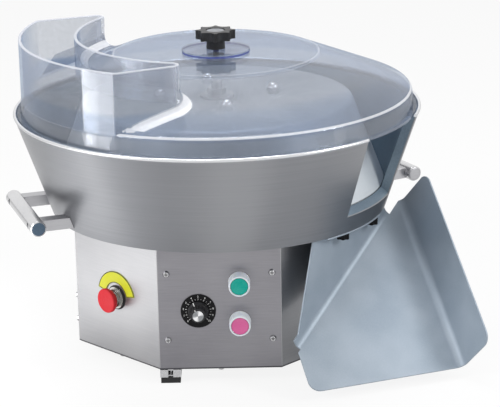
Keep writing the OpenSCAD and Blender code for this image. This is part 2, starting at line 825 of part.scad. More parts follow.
// Outline round both pulleys at a given distance from their running faces
module belt_outline(out) {
    lean = acos((driven_r - motor_pulley_r) / motor_y);
    big = driven_r + out;
    small = motor_pulley_r + out;
    circle(r = big);
    translate([0, motor_y]) circle(r = small);
    polygon([
        [big * sin(lean), big * cos(lean)],
        [small * sin(lean), motor_y + small * cos(lean)],
        [-small * sin(lean), motor_y + small * cos(lean)],
        [-big * sin(lean), big * cos(lean)]
    ]);
}

module drive_belt() color("black") translate([0, 0, pulley_z + belt_play]) linear_extrude(belt_w)
    difference() {
        belt_outline(clear + belt_t);
        belt_outline(clear);
    }

module motor_shaft() color("silver") translate([0, motor_y, plate_z - motor_shaft_in])
    cylinder(r = motor_shaft_r, h = motor_shaft_in + pulley_top - plate_z);

module motor_pulley() color("dimgray") translate([0, motor_y, pulley_z]) difference() {
    pulley(motor_pulley_r);
    translate([0, 0, -over]) cylinder(r = motor_shaft_r + seat, h = pulley_w + 2 * over);
}

module speed_drive() color("dimgray") difference() {
    translate([-base_a + sheet_t + seat, drive_y - drive_box[1] / 2, foot_h + drive_low]) difference() {
        cube(drive_box);
        for (i = [0:drive_fins - 1])
            translate([drive_box[0] - drive_fin_h, (2 * i + 0.5) * drive_box[1] / (2 * drive_fins), -over])
                cube([drive_fin_h + over, drive_box[1] / (2 * drive_fins), drive_box[2] + 2 * over]);
    }
    drive_screw_places() wall_hole(screw_r, screw_len);
}

module terminal_block() color("white") translate([terminal_x, terminal_back - base_a, foot_h])
    difference() {
    translate([-terminal_box[0] / 2, -terminal_box[1] / 2, 0]) cube(terminal_box);
    for (i = [1:terminal_ways - 1])
        translate([(i / terminal_ways - 0.5) * terminal_box[0], -terminal_box[1], terminal_box[2] / 2])
            cube([sheet_t, 2 * terminal_box[1], terminal_box[2]]);
}

// Controls
module dial_plate() color("black") on_panel(-dial_x, dial_z) difference() {
    cylinder(d = dial_d, h = dial_plate_t);
    translate([0, 0, -over]) cylinder(r = pot_bush_r + seat, h = dial_plate_t + 2 * over);
}

module potentiometer() color("gray") on_panel(-dial_x, dial_z) difference() {
    union() {
        translate([0, 0, -panel_t - pot_body_h]) cylinder(r = pot_body_r, h = pot_body_h);
        translate([0, 0, -panel_t - over])
            cylinder(r = pot_bush_r, h = panel_t + over + dial_plate_t + pot_nut_h);
        translate([0, 0, dial_plate_t]) cylinder(r = pot_nut_r, h = pot_nut_h);
    }
    translate([0, 0, -panel_t - pot_body_h / 2])
        cylinder(r = pot_shaft_r + run, h = pot_body_h + panel_t + dial_plate_t + pot_nut_h);
}

module pot_shaft() color("silver") on_panel(-dial_x, dial_z)
    translate([0, 0, -panel_t - pot_body_h / 2 + clear])
        cylinder(r = pot_shaft_r, h = pot_body_h / 2 + panel_t - clear + knob_back + knob_len / 2);

module dial_knob() color("black") on_panel(-dial_x, dial_z) translate([0, 0, knob_back]) difference() {
    union() {
        cylinder(d1 = knob_skirt_d, d2 = knob_skirt_d - knob_skirt_h, h = knob_skirt_h);
        linear_extrude(knob_len) difference() {
            circle(d = knob_grip_d);
            for (i = [0:knob_flutes - 1]) rotate((i + 0.5) * full_turn / knob_flutes)
                translate([knob_grip_d / 2 + knob_flute_r / 2, 0]) circle(r = knob_flute_r);
        }
    }
    translate([0, 0, -over]) cylinder(r = pot_shaft_r + seat, h = knob_len / 2 + over);
}

module dial_cap() color("silver") on_panel(-dial_x, dial_z) translate([0, 0, knob_back + knob_len])
    cylinder(r = knob_cap_r, h = knob_cap_h);

module button_places() for (z = [start_z, stop_z]) on_panel(button_x, z) children();

module button_rings() color("gray") button_places() ring(guard_d / 2, cap_d / 2 + clear, ring_h);

module button_guards() color("whitesmoke") button_places() translate([0, 0, ring_h])
    rotate_extrude() polygon(rounded(
        [
            [cap_d / 2 + clear, 0],
            [guard_d / 2, 0],
            [guard_d / 2 - guard_taper, guard_h],
            [cap_d / 2 + clear, guard_h]
        ],
        [0, 0, guard_rim_r, guard_rim_r / 2]
    ));

module contact_blocks() color("dimgray") button_places() panel_block(panel_t, button_stem_r);

// Barrel, ring nut and switch block behind a control, with a bore for its plunger
module panel_block(wall, stem) difference() {
    union() {
        translate([0, 0, -barrel_len]) cylinder(r = barrel_r, h = barrel_len);
        translate([0, 0, -wall - barrel_nut_h]) cylinder(r = barrel_nut_r, h = barrel_nut_h);
        translate([-block_w / 2, -block_h / 2, -barrel_len - block_d]) cube([block_w, block_h, block_d]);
    }
    translate([0, 0, -barrel_len]) cylinder(r = stem + run, h = barrel_len + over);
}

module button_cap() {
    rotate_extrude() polygon(rounded(
        [
            [0, button_travel + over],
            [cap_d / 2, button_travel + over],
            [cap_d / 2, ring_h + guard_h - cap_in],
            [0, ring_h + guard_h - cap_in - cap_dish]
        ],
        [0, 0, cap_edge_r, 0]
    ));
    translate([0, 0, -barrel_len + button_travel + over]) cylinder(r = button_stem_r, h = barrel_len);
}

module start_cap() color("mediumseagreen") on_panel(button_x, start_z) button_cap();

module stop_cap() color("palevioletred") on_panel(button_x, stop_z) button_cap();

module estop_legend() color("yellow") on_left_face() linear_extrude(legend_t) difference() {
    intersection() {
        circle(r = legend_r);
        polygon([
            [0, 0],
            [2 * legend_r, 2 * legend_r * tan(legend_end)],
            [2 * legend_r, 2 * legend_r],
            [-2 * legend_r, 2 * legend_r],
            [-2 * legend_r, 2 * legend_r * tan(legend_end)]
        ]);
    }
    circle(r = legend_in_r);
}

module estop_collar() color("silver") on_left_face() difference() {
    union() {
        cylinder(r = estop_ring_r, h = estop_ring_h);
        cylinder(r = estop_collar_r, h = estop_collar_h);
    }
    translate([0, 0, -over]) cylinder(r = estop_sleeve_r + run, h = estop_collar_h + 2 * over);
}

module estop_block() color("dimgray") on_left_face() panel_block(sheet_t, estop_stem_r);

module estop_stem() color("silver") on_left_face() {
    translate([0, 0, -estop_stem_back])
        cylinder(r = estop_stem_r, h = estop_stem_back + estop_collar_h + estop_travel + estop_head_h / 2);
    translate([0, 0, estop_travel + clear]) cylinder(r = estop_sleeve_r, h = estop_collar_h);
}

module estop_head() color("crimson") on_left_face() translate([0, 0, estop_collar_h + estop_travel + clear])
    difference() {
        rotate_extrude() polygon(rounded(
            [
                [0, 0],
                [estop_d / 2 - estop_taper, 0],
                [estop_d / 2, estop_head_h / 2],
                [estop_d / 2, estop_head_h],
                [0, estop_head_h]
            ],
            [0, estop_low_round, estop_side_round, estop_top_round, 0]
        ));
        translate([0, 0, -over]) cylinder(r = estop_stem_r + run, h = estop_head_h / 2 + over);
    }

// Handles
// Local x points out along the handle's direction and y along the bar, at the height of the handle
module handle_places() for (az = [left_handle_az, right_handle_az])
    rotate(az) translate([0, 0, bowl_z + handle_z]) children();

module handle_bolt_line(r, reach) translate([handle_foot_r - bolt_bite, 0, 0]) rotate([0, 90, 0])
    cylinder(r = r, h = reach - handle_foot_r + bolt_bite);

module handle_bars() color("gainsboro") handle_places() difference() {
    translate([bar_r, 0, 0]) rotate([90, 0, 0]) rotate_extrude() polygon([
        [0, -bar_len / 2],
        [bar_d / 2 - bar_chamfer, -bar_len / 2],
        [bar_d / 2, bar_chamfer - bar_len / 2],
        [bar_d / 2, bar_len / 2 - bar_chamfer],
        [bar_d / 2 - bar_chamfer, bar_len / 2],
        [0, bar_len / 2]
    ]);
    for (x = [-1, 1]) translate([0, x * bracket_x, 0]) {
        handle_bolt_line(handle_bolt_r + seat, bar_r + bar_d);
        translate([bar_r + bar_d / 2 - slot_depth, 0, 0]) rotate([0, 90, 0])
            cylinder(r = slot_r, h = slot_depth + over);
    }
}

module handle_brackets() color("gray") handle_places() for (x = [-1, 1]) translate([0, x * bracket_x, 0])
    difference() {
        translate([handle_r / 2, -bracket_w / 2, -bracket_h / 2])
            cube([bar_r - handle_r / 2, bracket_w, bracket_h]);
        translate([0, -x * bracket_x, -handle_z])
            cylinder(r1 = bowl_foot_r + seat, r2 = bowl_top_r + seat, h = bowl_h);
        translate([bar_r, 0, 0]) rotate([90, 0, 0])
            cylinder(d = bar_d + 2 * seat, h = 2 * bracket_w, center = true);
        handle_bolt_line(handle_bolt_r + seat, bar_r);
    }

module handle_bolts() color("dimgray") handle_places() for (x = [-1, 1]) translate([0, x * bracket_x, 0]) {
    handle_bolt_line(handle_bolt_r, bar_r + bar_d / 2 - slot_depth + handle_bolt_head_h / 2);
    translate([bar_r + bar_d / 2 - slot_depth, 0, 0]) rotate([0, 90, 0])
        cylinder(r = handle_bolt_head_r, h = handle_bolt_head_h);
}

// Lid
// The space below the clear sheet
module lid_underside(out) rotate_extrude() polygon([
    [0, ledge_z - out],
    [lid_shoulder_r + lid_draft - lid_t, ledge_z - out],
    [lid_shoulder_r - lid_t, shoulder_z - lid_t],
    [lid_crown_r, crown_z - lid_t],
    [0, crown_z - lid_t]
]);

// Half plane on the near side of a wall that faces a direction at a distance from the axis
module behind_wall(az, d) rotate(az) translate([d - 3 * bowl_top_r, -2 * bowl_top_r])
    square([3 * bowl_top_r, 4 * bowl_top_r]);

// What a rounded corner loses where a wall meets an arc about the axis
module corner_ear(az, d, r, round, side, hollow) {
    face = d - round;
    past = hollow ? -round : round;
    reach = r - past;
    across = side * sqrt(reach * reach - face * face);
    rotate(az) difference() {
        polygon([
            [face, across],
            [d + over, across],
            [d + over, side * (sqrt(r * r - d * d) + past)],
            [face * (r + past) / reach, across * (r + past) / reach]
        ]);
        translate([face, across]) circle(r = round * ease_share);
    }
}

// Plan of the hopper, drawn in by a distance from its outside
module hopper_plan(inset) {
    out_r = lid_shoulder_r - inset;
    in_r = hopper_inner_r + inset;
    front = hopper_front_d - inset;
    back = hopper_back_d - inset;
    round = hopper_corner_r - inset;
    difference() {
        intersection() {
            circle(r = out_r);
            behind_wall(hopper_front_az, front);
            behind_wall(hopper_back_az, back);
            rotate((hopper_front_az + hopper_back_az) / 2) translate([0, -out_r]) square([out_r, 2 * out_r]);
        }
        circle(r = in_r);
        corner_ear(hopper_front_az, front, out_r, round, -1, false);
        corner_ear(hopper_front_az, front, in_r, round, -1, true);
        corner_ear(hopper_back_az, back, out_r, round, 1, false);
        corner_ear(hopper_back_az, back, in_r, round, 1, true);
    }
}

// Section of the concave fillet between the lid's cone and the hopper's inner wall, sunk a little into both
function fillet_section(round) =
    let (sink = lid_t * fillet_sink_share, low = lid_cone_z(hopper_inner_r + 2 * hopper_corner_r) - lid_t)
    let (foot = [hopper_inner_r + sink, lid_cone_z(hopper_inner_r) - sink], back = foot[0] + lid_t / 2)
    let (arc = corner_arc([foot[0], hopper_z], foot, [lid_crown_r + sink, crown_z - sink], round))
    concat(arc, [[arc[arc_steps][0], low], [back, low], [back, arc[0][1]]]);

// The fillet along the inner wall, carried round both inner corners until it fades into the end walls
module hopper_fillet() {
    reach = hopper_inner_r + hopper_corner_r;
    short = 1;
    lap = 15;
    fade = 75;
    start = hopper_back_az + acos((hopper_back_d - hopper_corner_r) / reach);
    end = hopper_front_az - acos((hopper_front_d - hopper_corner_r) / reach);
    rotate(start + short) rotate_extrude(angle = end - start - 2 * short)
        polygon(fillet_section(hopper_fillet_r));
    for (corner = [
        [start, start - half_turn - lap, hopper_back_az + fade],
        [end, hopper_front_az - full_turn - fade, end - half_turn + lap]
    ])
        translate([reach * cos(corner[0]), reach * sin(corner[0]), 0]) rotate(corner[1])
            rotate_extrude(angle = corner[2] - corner[1])
                polygon([for (p = fillet_section(hopper_fillet_r * corner_share)) [reach - p[0], p[1]]]);
}

// Small fillet along the foot of an end wall, from its inner to its outer corner
module foot_fillet(az, d, side) {
    near = sqrt(pow(hopper_inner_r + hopper_corner_r, 2) - pow(d - hopper_corner_r, 2));
    far = sqrt(lid_shoulder_r * lid_shoulder_r - d * d) - foot_round;
    near_z = lid_cone_z(norm([d, near]));
    far_z = lid_cone_z(norm([d, far]));
    pitch = atan((near_z - far_z) / (far - near));
    fall = lid_rise / (lid_shoulder_r - lid_crown_r) * d / norm([d, far]);
    sink = lid_t * foot_sink_share;
    corner = [-sink, -sink];
    arc = corner_arc(corner + [0, 1], corner, corner + [1, -fall], foot_round);
    toe = arc[arc_steps];
    back = -hopper_t / 2;
    low = -lid_t / 2;
    start = side < 0 ? [d, -near, near_z] : [d, far, far_z];
    rotate(az) translate(start) rotate([90 - side * pitch, 0, 0])
        linear_extrude(norm([far - near, near_z - far_z]))
            polygon(concat(arc, [toe + [0, low], [back, low], [back, arc[0][1]]]));
}

module lid_shell() color("lightblue", 0.35) difference() {
    union() {
        rotate_extrude() polygon(rounded(
            [
                [lid_stud_r + seat, crown_z],
                [lid_crown_r, crown_z],
                [lid_shoulder_r, shoulder_z],
                [lid_shoulder_r + lid_draft, ledge_z + lid_t],
                [lid_flange_r, ledge_z + lid_t],
                [lid_flange_r, ledge_z],
                [lid_shoulder_r + lid_draft - lid_t, ledge_z],
                [lid_shoulder_r - lid_t, shoulder_z - lid_t],
                [lid_crown_r, crown_z - lid_t],
                [lid_stud_r + seat, crown_z - lid_t]
            ],
            [0, shoulder_round, shoulder_round, 0, 0, 0, 0, 0, 0, 0]
        ));
        difference() {
            union() {
                translate([0, 0, shoulder_z - lid_t]) linear_extrude(hopper_h + lid_t) hopper_plan(0);
                hopper_fillet();
                foot_fillet(hopper_front_az, hopper_front_d, -1);
                foot_fillet(hopper_back_az, hopper_back_d, 1);
            }
            lid_underside(over);
        }
    }
    translate([0, 0, ledge_z - over]) linear_extrude(hopper_z - ledge_z + 2 * over) hopper_plan(hopper_t);
}

module lid_disc() color("lightsteelblue", 0.5) translate([0, 0, crown_z])
    ring(lid_disc_d / 2, lid_stud_r + seat, lid_disc_t);

module lid_knob() color("black") translate([0, 0, crown_z + lid_disc_t]) difference() {
    union() {
        cylinder(d1 = lid_knob_neck_d, d2 = lid_knob_neck_d - lid_knob_dish, h = lid_knob_neck_h);
        translate([0, 0, lid_knob_neck_h]) linear_extrude(lid_knob_head_h) star(lid_knob_d, lid_knob_lobes);
        translate([0, 0, -lid_disc_t - lid_t - lid_washer_t - lid_nut_h])
            cylinder(r = lid_stud_r, h = lid_disc_t + lid_t + lid_washer_t + lid_nut_h + over);
    }
    translate([0, 0, lid_knob_neck_h + lid_knob_head_h - lid_knob_dish])
        cylinder(r = lid_knob_dish_r, h = lid_knob_dish + over);
}

module lid_nut() color("silver") translate([0, 0, crown_z - lid_t]) difference() {
    union() {
        translate([0, 0, -lid_washer_t]) cylinder(r = lid_washer_r, h = lid_washer_t);
        translate([0, 0, -lid_washer_t - lid_nut_h]) hex(lid_nut_af, lid_nut_h);
    }
    wall_hole(lid_stud_r, lid_washer_t + lid_nut_h);
}

// Chute
module chute_frame() translate(chute_top) rotate([0, chute_slope, chute_az]) children();

// Section of a bent sheet: a flat stretch that ends at the fold, the round, then the folded stretch.
// The fold is where the two inner faces would meet, at x = 0, and the flat stretch lies at x < 0.
function bend_side(r, flat, fold, len) = let (set = chute_bend_r * tan(fold / 2)) concat(
    [[-flat, chute_bend_r - r]],
    [
        for (i = [0:2 * arc_steps])
            let (a = fold * i / (2 * arc_steps))
            [r * sin(a) - set, chute_bend_r - r * cos(a)]
    ],
    [[r * sin(fold) - set, chute_bend_r - r * cos(fold)] + (len - set) * [cos(fold), sin(fold)]]
);
function bend_section(flat, fold, len, sunk) =
    let (inner = bend_side(chute_bend_r + sunk, flat, fold, len), last = len(inner) - 1)
    concat(bend_side(chute_bend_r + chute_t - sunk, flat, fold, len), [for (i = [last:-1:0]) inner[i]]);

// The folded stretch's own plane: local y runs up it from the fold, local z through the sheet
module on_fold(fold) {
    set = chute_bend_r * tan(fold / 2);
    translate([0, -set, chute_bend_r]) rotate([fold, 0, 0])
        translate([0, -set, -chute_bend_r - chute_t]) children();
}

// A point of the flap in the fold line's own frame, given by its level place along the flap and its height
function flap_point(along, z) =
    let (s = along - fold_top * flap_along, h = z - fold_top[2])
    [s * cos(fold_fall) - h * sin(fold_fall), s * sin(fold_fall) + h * cos(fold_fall)];

// What a rounded corner loses, with the corner at the origin and the sheet towards -x and -y
module corner_cut(r) translate([-r, -r, -over]) linear_extrude(chute_t + 2 * over) difference() {
    square(r + over);
    circle(r = r);
}

// Floor and side wall, bent from one strip along the slope, with the corner for the flap taken off
module chute_floor() difference() {
    rotate([90, 0, 90]) linear_extrude(chute_len)
        polygon(bend_section(chute_w, chute_wall_fold, chute_wall_h, 0));
    translate([fold_x, fold_y, -chute_t - over]) rotate(fold_turn)
        translate([-chute_len, chute_bend_r * tan(flap_fold / 2) - chute_len, 0])
            cube([3 * chute_len, chute_len, chute_t + 2 * over]);
    translate([chute_len, -chute_w, -chute_t]) rotate(-90) corner_cut(chute_corner_r);
    on_fold(chute_wall_fold) {
        translate([chute_len, chute_wall_h, 0]) corner_cut(chute_corner_r);
        translate([0, chute_wall_h, 0]) rotate(90) corner_cut(chute_corner_r);
    }
}

// What the flap keeps of its bent strip, seen square to the flap from the bowl's side
module flap_outline() polygon([
    [0, 0],
    flap_point(fold_top * flap_along, bowl_z - chute_t / 2),
    flap_point(flap_top_x, bowl_z - chute_t / 2),
    [fold_len, 0]
]);

// Flap folded up from the floor's corner, cut off level below the bowl. It is let into the floor by a lap.
module chute_flap() translate([fold_x, fold_y, 0]) rotate(fold_turn) translate([fold_len, 0, 0])
    rotate(half_turn)
    difference() {
        rotate([90, 0, 90]) linear_extrude(fold_len)
            polygon(bend_section(chute_bend_r * tan(flap_fold / 2) + over, flap_fold, chute_w, flap_inlay));
        on_fold(flap_fold) translate([fold_len, 0, -over]) linear_extrude(chute_t + 2 * over) mirror([1, 0])
            difference() {
                translate([-fold_len, chute_bend_r]) square([3 * fold_len, 2 * chute_w]);
                flap_outline();
            }
    }

module chute_sheet() color("slategray") {
    chute_frame() {
        chute_floor();
        chute_flap();
    }
    translate([0, 0, bowl_z - chute_t]) linear_extrude(chute_t) difference() {
        intersection() {
            circle(r = flange_r);
            rotate(flap_az) translate([flap_d - chute_t / 2, -flange_r]) square([flange_r, 2 * flange_r]);
            polygon([
                [0, 0],
                [2 * flange_r * cos(flange_left_az), 2 * flange_r * sin(flange_left_az)],
                [2 * flange_r * cos(flange_right_az), 2 * flange_r * sin(flange_right_az)]
            ]);
        }
        for (x = [thumb_left_x, thumb_right_x])
            rotate(flap_az) translate([thumb_out, -x]) circle(r = thumb_stud_r + run);
    }
}

module thumb_place(x) rotate(flap_az) translate([thumb_out, -x, bowl_z - chute_t - run]) children();

module thumb_knob() {
    translate([0, 0, -thumb_h]) linear_extrude(thumb_h) star(thumb_d, thumb_lobes);
    cylinder(r = thumb_stud_r, h = chute_t + floor_t);
}

module left_thumb_knob() color("black") thumb_place(thumb_left_x) thumb_knob();

module right_thumb_knob() color("black") thumb_place(thumb_right_x) thumb_knob();

base_housing();
front_panel();
panel_screws();
drive_screws();
bottom_plate();
bottom_screws();
foot_channels();
foot_pads();
cable_gland();
bowl_floor();
floor_screws();
bowl_skin();
bowl_wall();
bearing_housing();
housing_screws();
shaft_bearings();
shaft_seal();
motor_plate();
motor_standoffs();
motor_body();
motor_shields();
drive_belt();
speed_drive();
terminal_block();
dial_plate();
potentiometer();
button_rings();
button_guards();
contact_blocks();
estop_legend();
estop_collar();
estop_block();
handle_bars();
handle_brackets();
handle_bolts();
rotor_cone();
rotor_hub();
drive_shaft();
driven_pulley();
rotor_nuts();
shaft_nut();
motor_shaft();
motor_pulley();
lid_shell();
lid_disc();
lid_knob();
lid_nut();
start_cap();
stop_cap();
dial_knob();
dial_cap();
pot_shaft();
estop_stem();
estop_head();
chute_sheet();
left_thumb_knob();
right_thumb_knob();
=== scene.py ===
import math

import bmesh
import bpy
from mathutils import Matrix, Vector


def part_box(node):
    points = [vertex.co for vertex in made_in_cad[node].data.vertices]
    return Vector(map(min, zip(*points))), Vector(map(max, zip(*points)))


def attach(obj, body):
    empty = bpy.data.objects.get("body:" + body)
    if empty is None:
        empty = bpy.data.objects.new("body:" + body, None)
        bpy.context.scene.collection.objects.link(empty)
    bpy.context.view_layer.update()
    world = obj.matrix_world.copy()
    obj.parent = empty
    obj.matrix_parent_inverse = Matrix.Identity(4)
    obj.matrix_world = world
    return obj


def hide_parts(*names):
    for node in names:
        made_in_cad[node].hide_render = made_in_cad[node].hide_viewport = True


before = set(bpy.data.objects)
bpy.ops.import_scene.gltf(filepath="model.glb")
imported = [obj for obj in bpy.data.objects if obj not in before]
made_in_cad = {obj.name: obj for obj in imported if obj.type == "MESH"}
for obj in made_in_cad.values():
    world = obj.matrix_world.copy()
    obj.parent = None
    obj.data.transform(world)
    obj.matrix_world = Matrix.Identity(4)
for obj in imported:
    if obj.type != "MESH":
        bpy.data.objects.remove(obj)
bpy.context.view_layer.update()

# Base housing
# An octagonal box of brushed stainless sheet, folded and welded along its corners.
# The grain runs level round all the faces.


class Value:
    """A shader socket that can be added, taken away and multiplied like a number."""

    def __init__(self, tree, socket=None):
        self.tree = tree
        self.socket = socket

    def node(self, kind, settings, sockets, out=0):
        made = self.tree.nodes.new("ShaderNode" + kind)
        for name, setting in settings.items():
            setattr(made, name, setting)
        for name, value in sockets.items():
            if isinstance(value, Value):
                self.tree.links.new(value.socket, made.inputs[name])
            else:
                made.inputs[name].default_value = value
        return Value(self.tree, made.outputs[out] if made.outputs else None)

    def math(self, operation, first, second):
        return self.node("Math", {"operation": operation}, {0: first, 1: second})

    def __add__(self, other):
        return self.math("ADD", self, other)

    def __sub__(self, other):
        return self.math("SUBTRACT", self, other)

    def __rsub__(self, other):
        return self.math("SUBTRACT", other, self)

    def __mul__(self, other):
        return self.math("MULTIPLY", self, other)

    __radd__ = __add__
    __rmul__ = __mul__

    def step(self, low, high):
        """0 below the low value, 1 above the high one and a smooth rise between them."""
        return self.node(
            "MapRange",
            {"interpolation_type": "SMOOTHSTEP"},
            {"Value": self, "From Min": low, "From Max": high},
        )

    def blend(self, low, high):
        """A colour between two, this value saying how far."""
        low, high = (c if isinstance(c, Value) else (*c, 1) for c in (low, high))
        return self.node("Mix", {"data_type": "RGBA"}, {0: self, 6: low, 7: high}, 2)

    def place(self, stretch=(1, 1, 1)):
        """Place on the piece in metres, stretched along the three axes."""
        spot = self.node("TexCoord", {}, {}, "Object")
        return self.node("Mapping", {}, {"Vector": spot, "Scale": stretch})

    def axes(self):
        """The three parts of a vector."""
        made = self.tree.nodes.new("ShaderNodeSeparateXYZ")
        self.tree.links.new(self.socket, made.inputs[0])
        return [Value(self.tree, part) for part in made.outputs]

    def height(self):
        return self.place().axes()[2]

    def facing(self):
        """The three parts of the way the surface faces."""
        return self.node("NewGeometry", {}, {}, "True Normal").axes()

    def __abs__(self):
        return self.math("ABSOLUTE", self, 0)

    def hypot(self, other):
        """Distance of a place given by two coordinates."""
        return self.math("SQRT", self * self + other * other, 0)

    def noise(self, stretch, detail=2.0, rough=0.5):
        where = self.place(stretch)
        return self.node("TexNoise", {}, {"Vector": where, "Scale": 1, "Detail": detail, "Roughness": rough})

    def bumps(self, strength, depth, normal=None):
        sockets = {"Strength": strength, "Distance": depth, "Height": self}
        if normal:
            sockets["Normal"] = normal
        return self.node("Bump", {}, sockets)

    def eased(self, radius):
        """Normal that rolls over the edges, as on a piece with its sharp edges broken."""
        return self.node("Bevel", {"samples": 6}, {"Radius": radius})


def finish(name, recipe):
    """A material whose surface shader is what the recipe returns."""
    made = bpy.data.materials.new(name)
    made.use_nodes = True
    made.node_tree.nodes.clear()
    shader = recipe(Value(made.node_tree))
    shader.node("OutputMaterial", {}, {"Surface": shader})
    return made


def dress(material, *names):
    """Gives CAD nodes their finish."""
    for name in names:
        piece = made_in_cad[name]
        if not piece.material_slots:
            piece.data.materials.append(material)
        for slot in piece.material_slots:
            slot.material = material


def brushed(dark, light, roughness, grain, lay, edge, painted_shade_level=None):
    """Brushed metal: fine lines along the grain, broad cloudy patches from handling, and painted shade below
    a given level.
    """

    def recipe(start):
        lines = start.noise(grain, 3, 0.6)
        patches = start.noise((9, 9, 9))
        shade = (lines * 0.4 + patches * 0.6).step(0.2, 0.8).blend(dark, light)
        # Below the given level the colour is darkened as painted shade, a dark edge standing in for the dark
        # floor it mirrors.
        if painted_shade_level:
            painted_shade = 1 - start.height().step(painted_shade_level - 0.0006, painted_shade_level + 0.0006)
            shade = painted_shade.blend(shade, (0.10, 0.10, 0.11))
        normal = lines.bumps(0.06, 0.0002, start.eased(edge))
        return start.node(
            "BsdfPrincipled",
            {},
            {
                "Base Color": shade,
                "Metallic": 1,
                "Roughness": roughness + lines * 0.10 + patches * 0.06,
                "Anisotropic": lay,
                "Normal": normal,
            },
        )

    return recipe


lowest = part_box("base_housing")[0].z
# The housing's bottom 1.6 mm gets painted shade: a dark band along its lower edge.
housing_steel = finish(
    "housing_steel",
    brushed((0.37, 0.37, 0.385), (0.46, 0.46, 0.47), 0.27, (22, 22, 700), 0.4, 0.0006, lowest + 0.0016),
)
dress(housing_steel, "base_housing", "bottom_plate")

# Front panel
# A flat plate of brushed stainless that closes the front of the housing, its colour darker than the
# housing's as painted shade for the darker floor that the front mirrors.
# Four bright pan-head screws with cross recesses hold it.
panel_steel = finish(
    "panel_steel", brushed((0.24, 0.235, 0.255), (0.32, 0.315, 0.335), 0.30, (30, 30, 800), 0.4, 0.0005)
)
dress(panel_steel, "front_panel")
screw_steel = finish(
    "screw_steel", brushed((0.62, 0.62, 0.63), (0.76, 0.76, 0.77), 0.16, (300, 300, 300), 0, 0.0004)
)
dress(screw_steel, "bottom_screws", "floor_screws", "housing_screws")


def cross_recipe(start):
    """Bright screw heads with painted shade in the cross recess and round the edge."""
    grain = start.noise((300, 300, 300), 3)
    # Ambient occlusion paints shade into the colour of the recess and the rim.
    painted_shade_ao = start.node("AmbientOcclusion", {"samples": 8}, {"Distance": 0.005}, "AO")
    shade = (painted_shade_ao.step(0.45, 1) * 0.85 + grain * 0.15).blend((0.02, 0.02, 0.025), (0.62, 0.62, 0.63))
    return start.node(
        "BsdfPrincipled", {}, {"Base Color": shade, "Metallic": 1, "Roughness": 0.18 + grain * 0.1}
    )


dress(finish("cross_steel", cross_recipe), "panel_screws", "drive_screws")

# Feet
# Four short lengths of bright steel channel below the corners, each on a black rubber pad.
foot_steel = finish(
    "foot_steel", brushed((0.60, 0.60, 0.61), (0.72, 0.72, 0.73), 0.20, (300, 6, 300), 0.2, 0.0006)
)
dress(foot_steel, "foot_channels")


def alone(piece):
    """Makes a piece the only one that is selected."""
    bpy.ops.object.select_all(action="DESELECT")
    piece.select_set(True)
    bpy.context.view_layer.objects.active = piece


def dot(spot):
    """Begins a piece in edit mode as one point, to be drawn out from there."""
    bpy.ops.object.select_all(action="DESELECT")
    bpy.ops.mesh.primitive_plane_add(size=0.01)
    bpy.ops.object.mode_set(mode="EDIT")
    bpy.ops.mesh.select_all(action="SELECT")
    bpy.ops.mesh.merge(type="CENTER")
    bpy.ops.transform.translate(value=spot)
    return bpy.context.object


def drawn(move):
    """Draws what is selected out into a line or a strip."""
    bpy.ops.mesh.extrude_region_move(TRANSFORM_OT_translate={"value": move})


def outward():
    """In edit mode, turns all faces of a piece outward and leaves edit mode."""
    bpy.ops.mesh.select_all(action="SELECT")
    bpy.ops.mesh.normals_make_consistent(inside=False)
    bpy.ops.object.mode_set(mode="OBJECT")


def turned(name, outline, sides=64):
    """Lathe work: a line through (radius, height) points, spun round the upright axis."""
    corners = [Vector((radius, 0, height)) for radius, height in outline]
    piece = dot(corners[0])
    piece.name = name
    for before, after in zip(corners, corners[1:]):
        drawn(after - before)
    bpy.ops.mesh.select_all(action="SELECT")
    bpy.ops.mesh.spin(steps=sides, angle=2 * math.pi, center=(0, 0, 0), axis=(0, 0, 1))
    bpy.ops.mesh.select_all(action="SELECT")
    bpy.ops.mesh.remove_doubles(threshold=0.000005)
    outward()
    bpy.ops.object.shade_smooth_by_angle(angle=math.radians(35))
    return piece


def copied(piece, name):
    """A second piece of the same make, with a mesh of its own."""
    twin = bpy.data.objects.new(name, piece.data.copy())
    bpy.context.collection.objects.link(twin)
    return twin


def settle(piece, spot, material, body):
    """Puts a finished piece in its place for good and gives it finish and body."""
    alone(piece)
    piece.matrix_world = spot
    bpy.ops.object.transform_apply(location=True, rotation=True, scale=True)
    piece.data.materials.clear()
    piece.data.materials.append(material)
    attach(piece, body)


# The bolt that holds each foot shows through the slot of its channel.
channel_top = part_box("foot_channels")[1].z
bolt_outline = [(0, 0), (0.0022, 0), (0.0030, 0.0010), (0.0030, 0.0042)]
bolt_outline += [(0.0050, 0.0042), (0.0050, 0.0074), (0, 0.0074)]
foot_bolt = turned("foot_bolt_1", bolt_outline, 24)
foot_bolts = [foot_bolt] + [copied(foot_bolt, f"foot_bolt_{n}") for n in (2, 3, 4)]
for quarter, bolt in enumerate(foot_bolts):
    first_spot = Matrix.Translation((-0.0724, -0.196, channel_top - 0.0100))
    spot = Matrix.Rotation(quarter * math.pi / 2, 4, "Z") @ first_spot
    settle(bolt, spot, screw_steel, "base")


def moulded(colour, roughness, speck, edge, grain=900, gloss=0.3):
    """Moulded plastic or rubber: a fine skin texture and slightly uneven gloss."""

    def recipe(start):
        skin = start.noise((grain, grain, grain), 2)
        wear = start.noise((60, 60, 60), 3)
        paler = tuple(c + (1 - c) * speck for c in colour)
        return start.node(
            "BsdfPrincipled",
            {},
            {
                "Base Color": (skin * 0.5 + wear * 0.5).step(0.35, 0.7).blend(colour, paler),
                "Roughness": roughness + wear * 0.12,
                "Specular IOR Level": gloss,
                "Normal": skin.bumps(0.12, 0.0001, start.eased(edge)),
            },
        )

    return recipe


pad_rubber = finish("pad_rubber", moulded((0.012, 0.012, 0.013), 0.55, 0.02, 0.0012))
dress(pad_rubber, "foot_pads", "shaft_seal", "drive_belt")

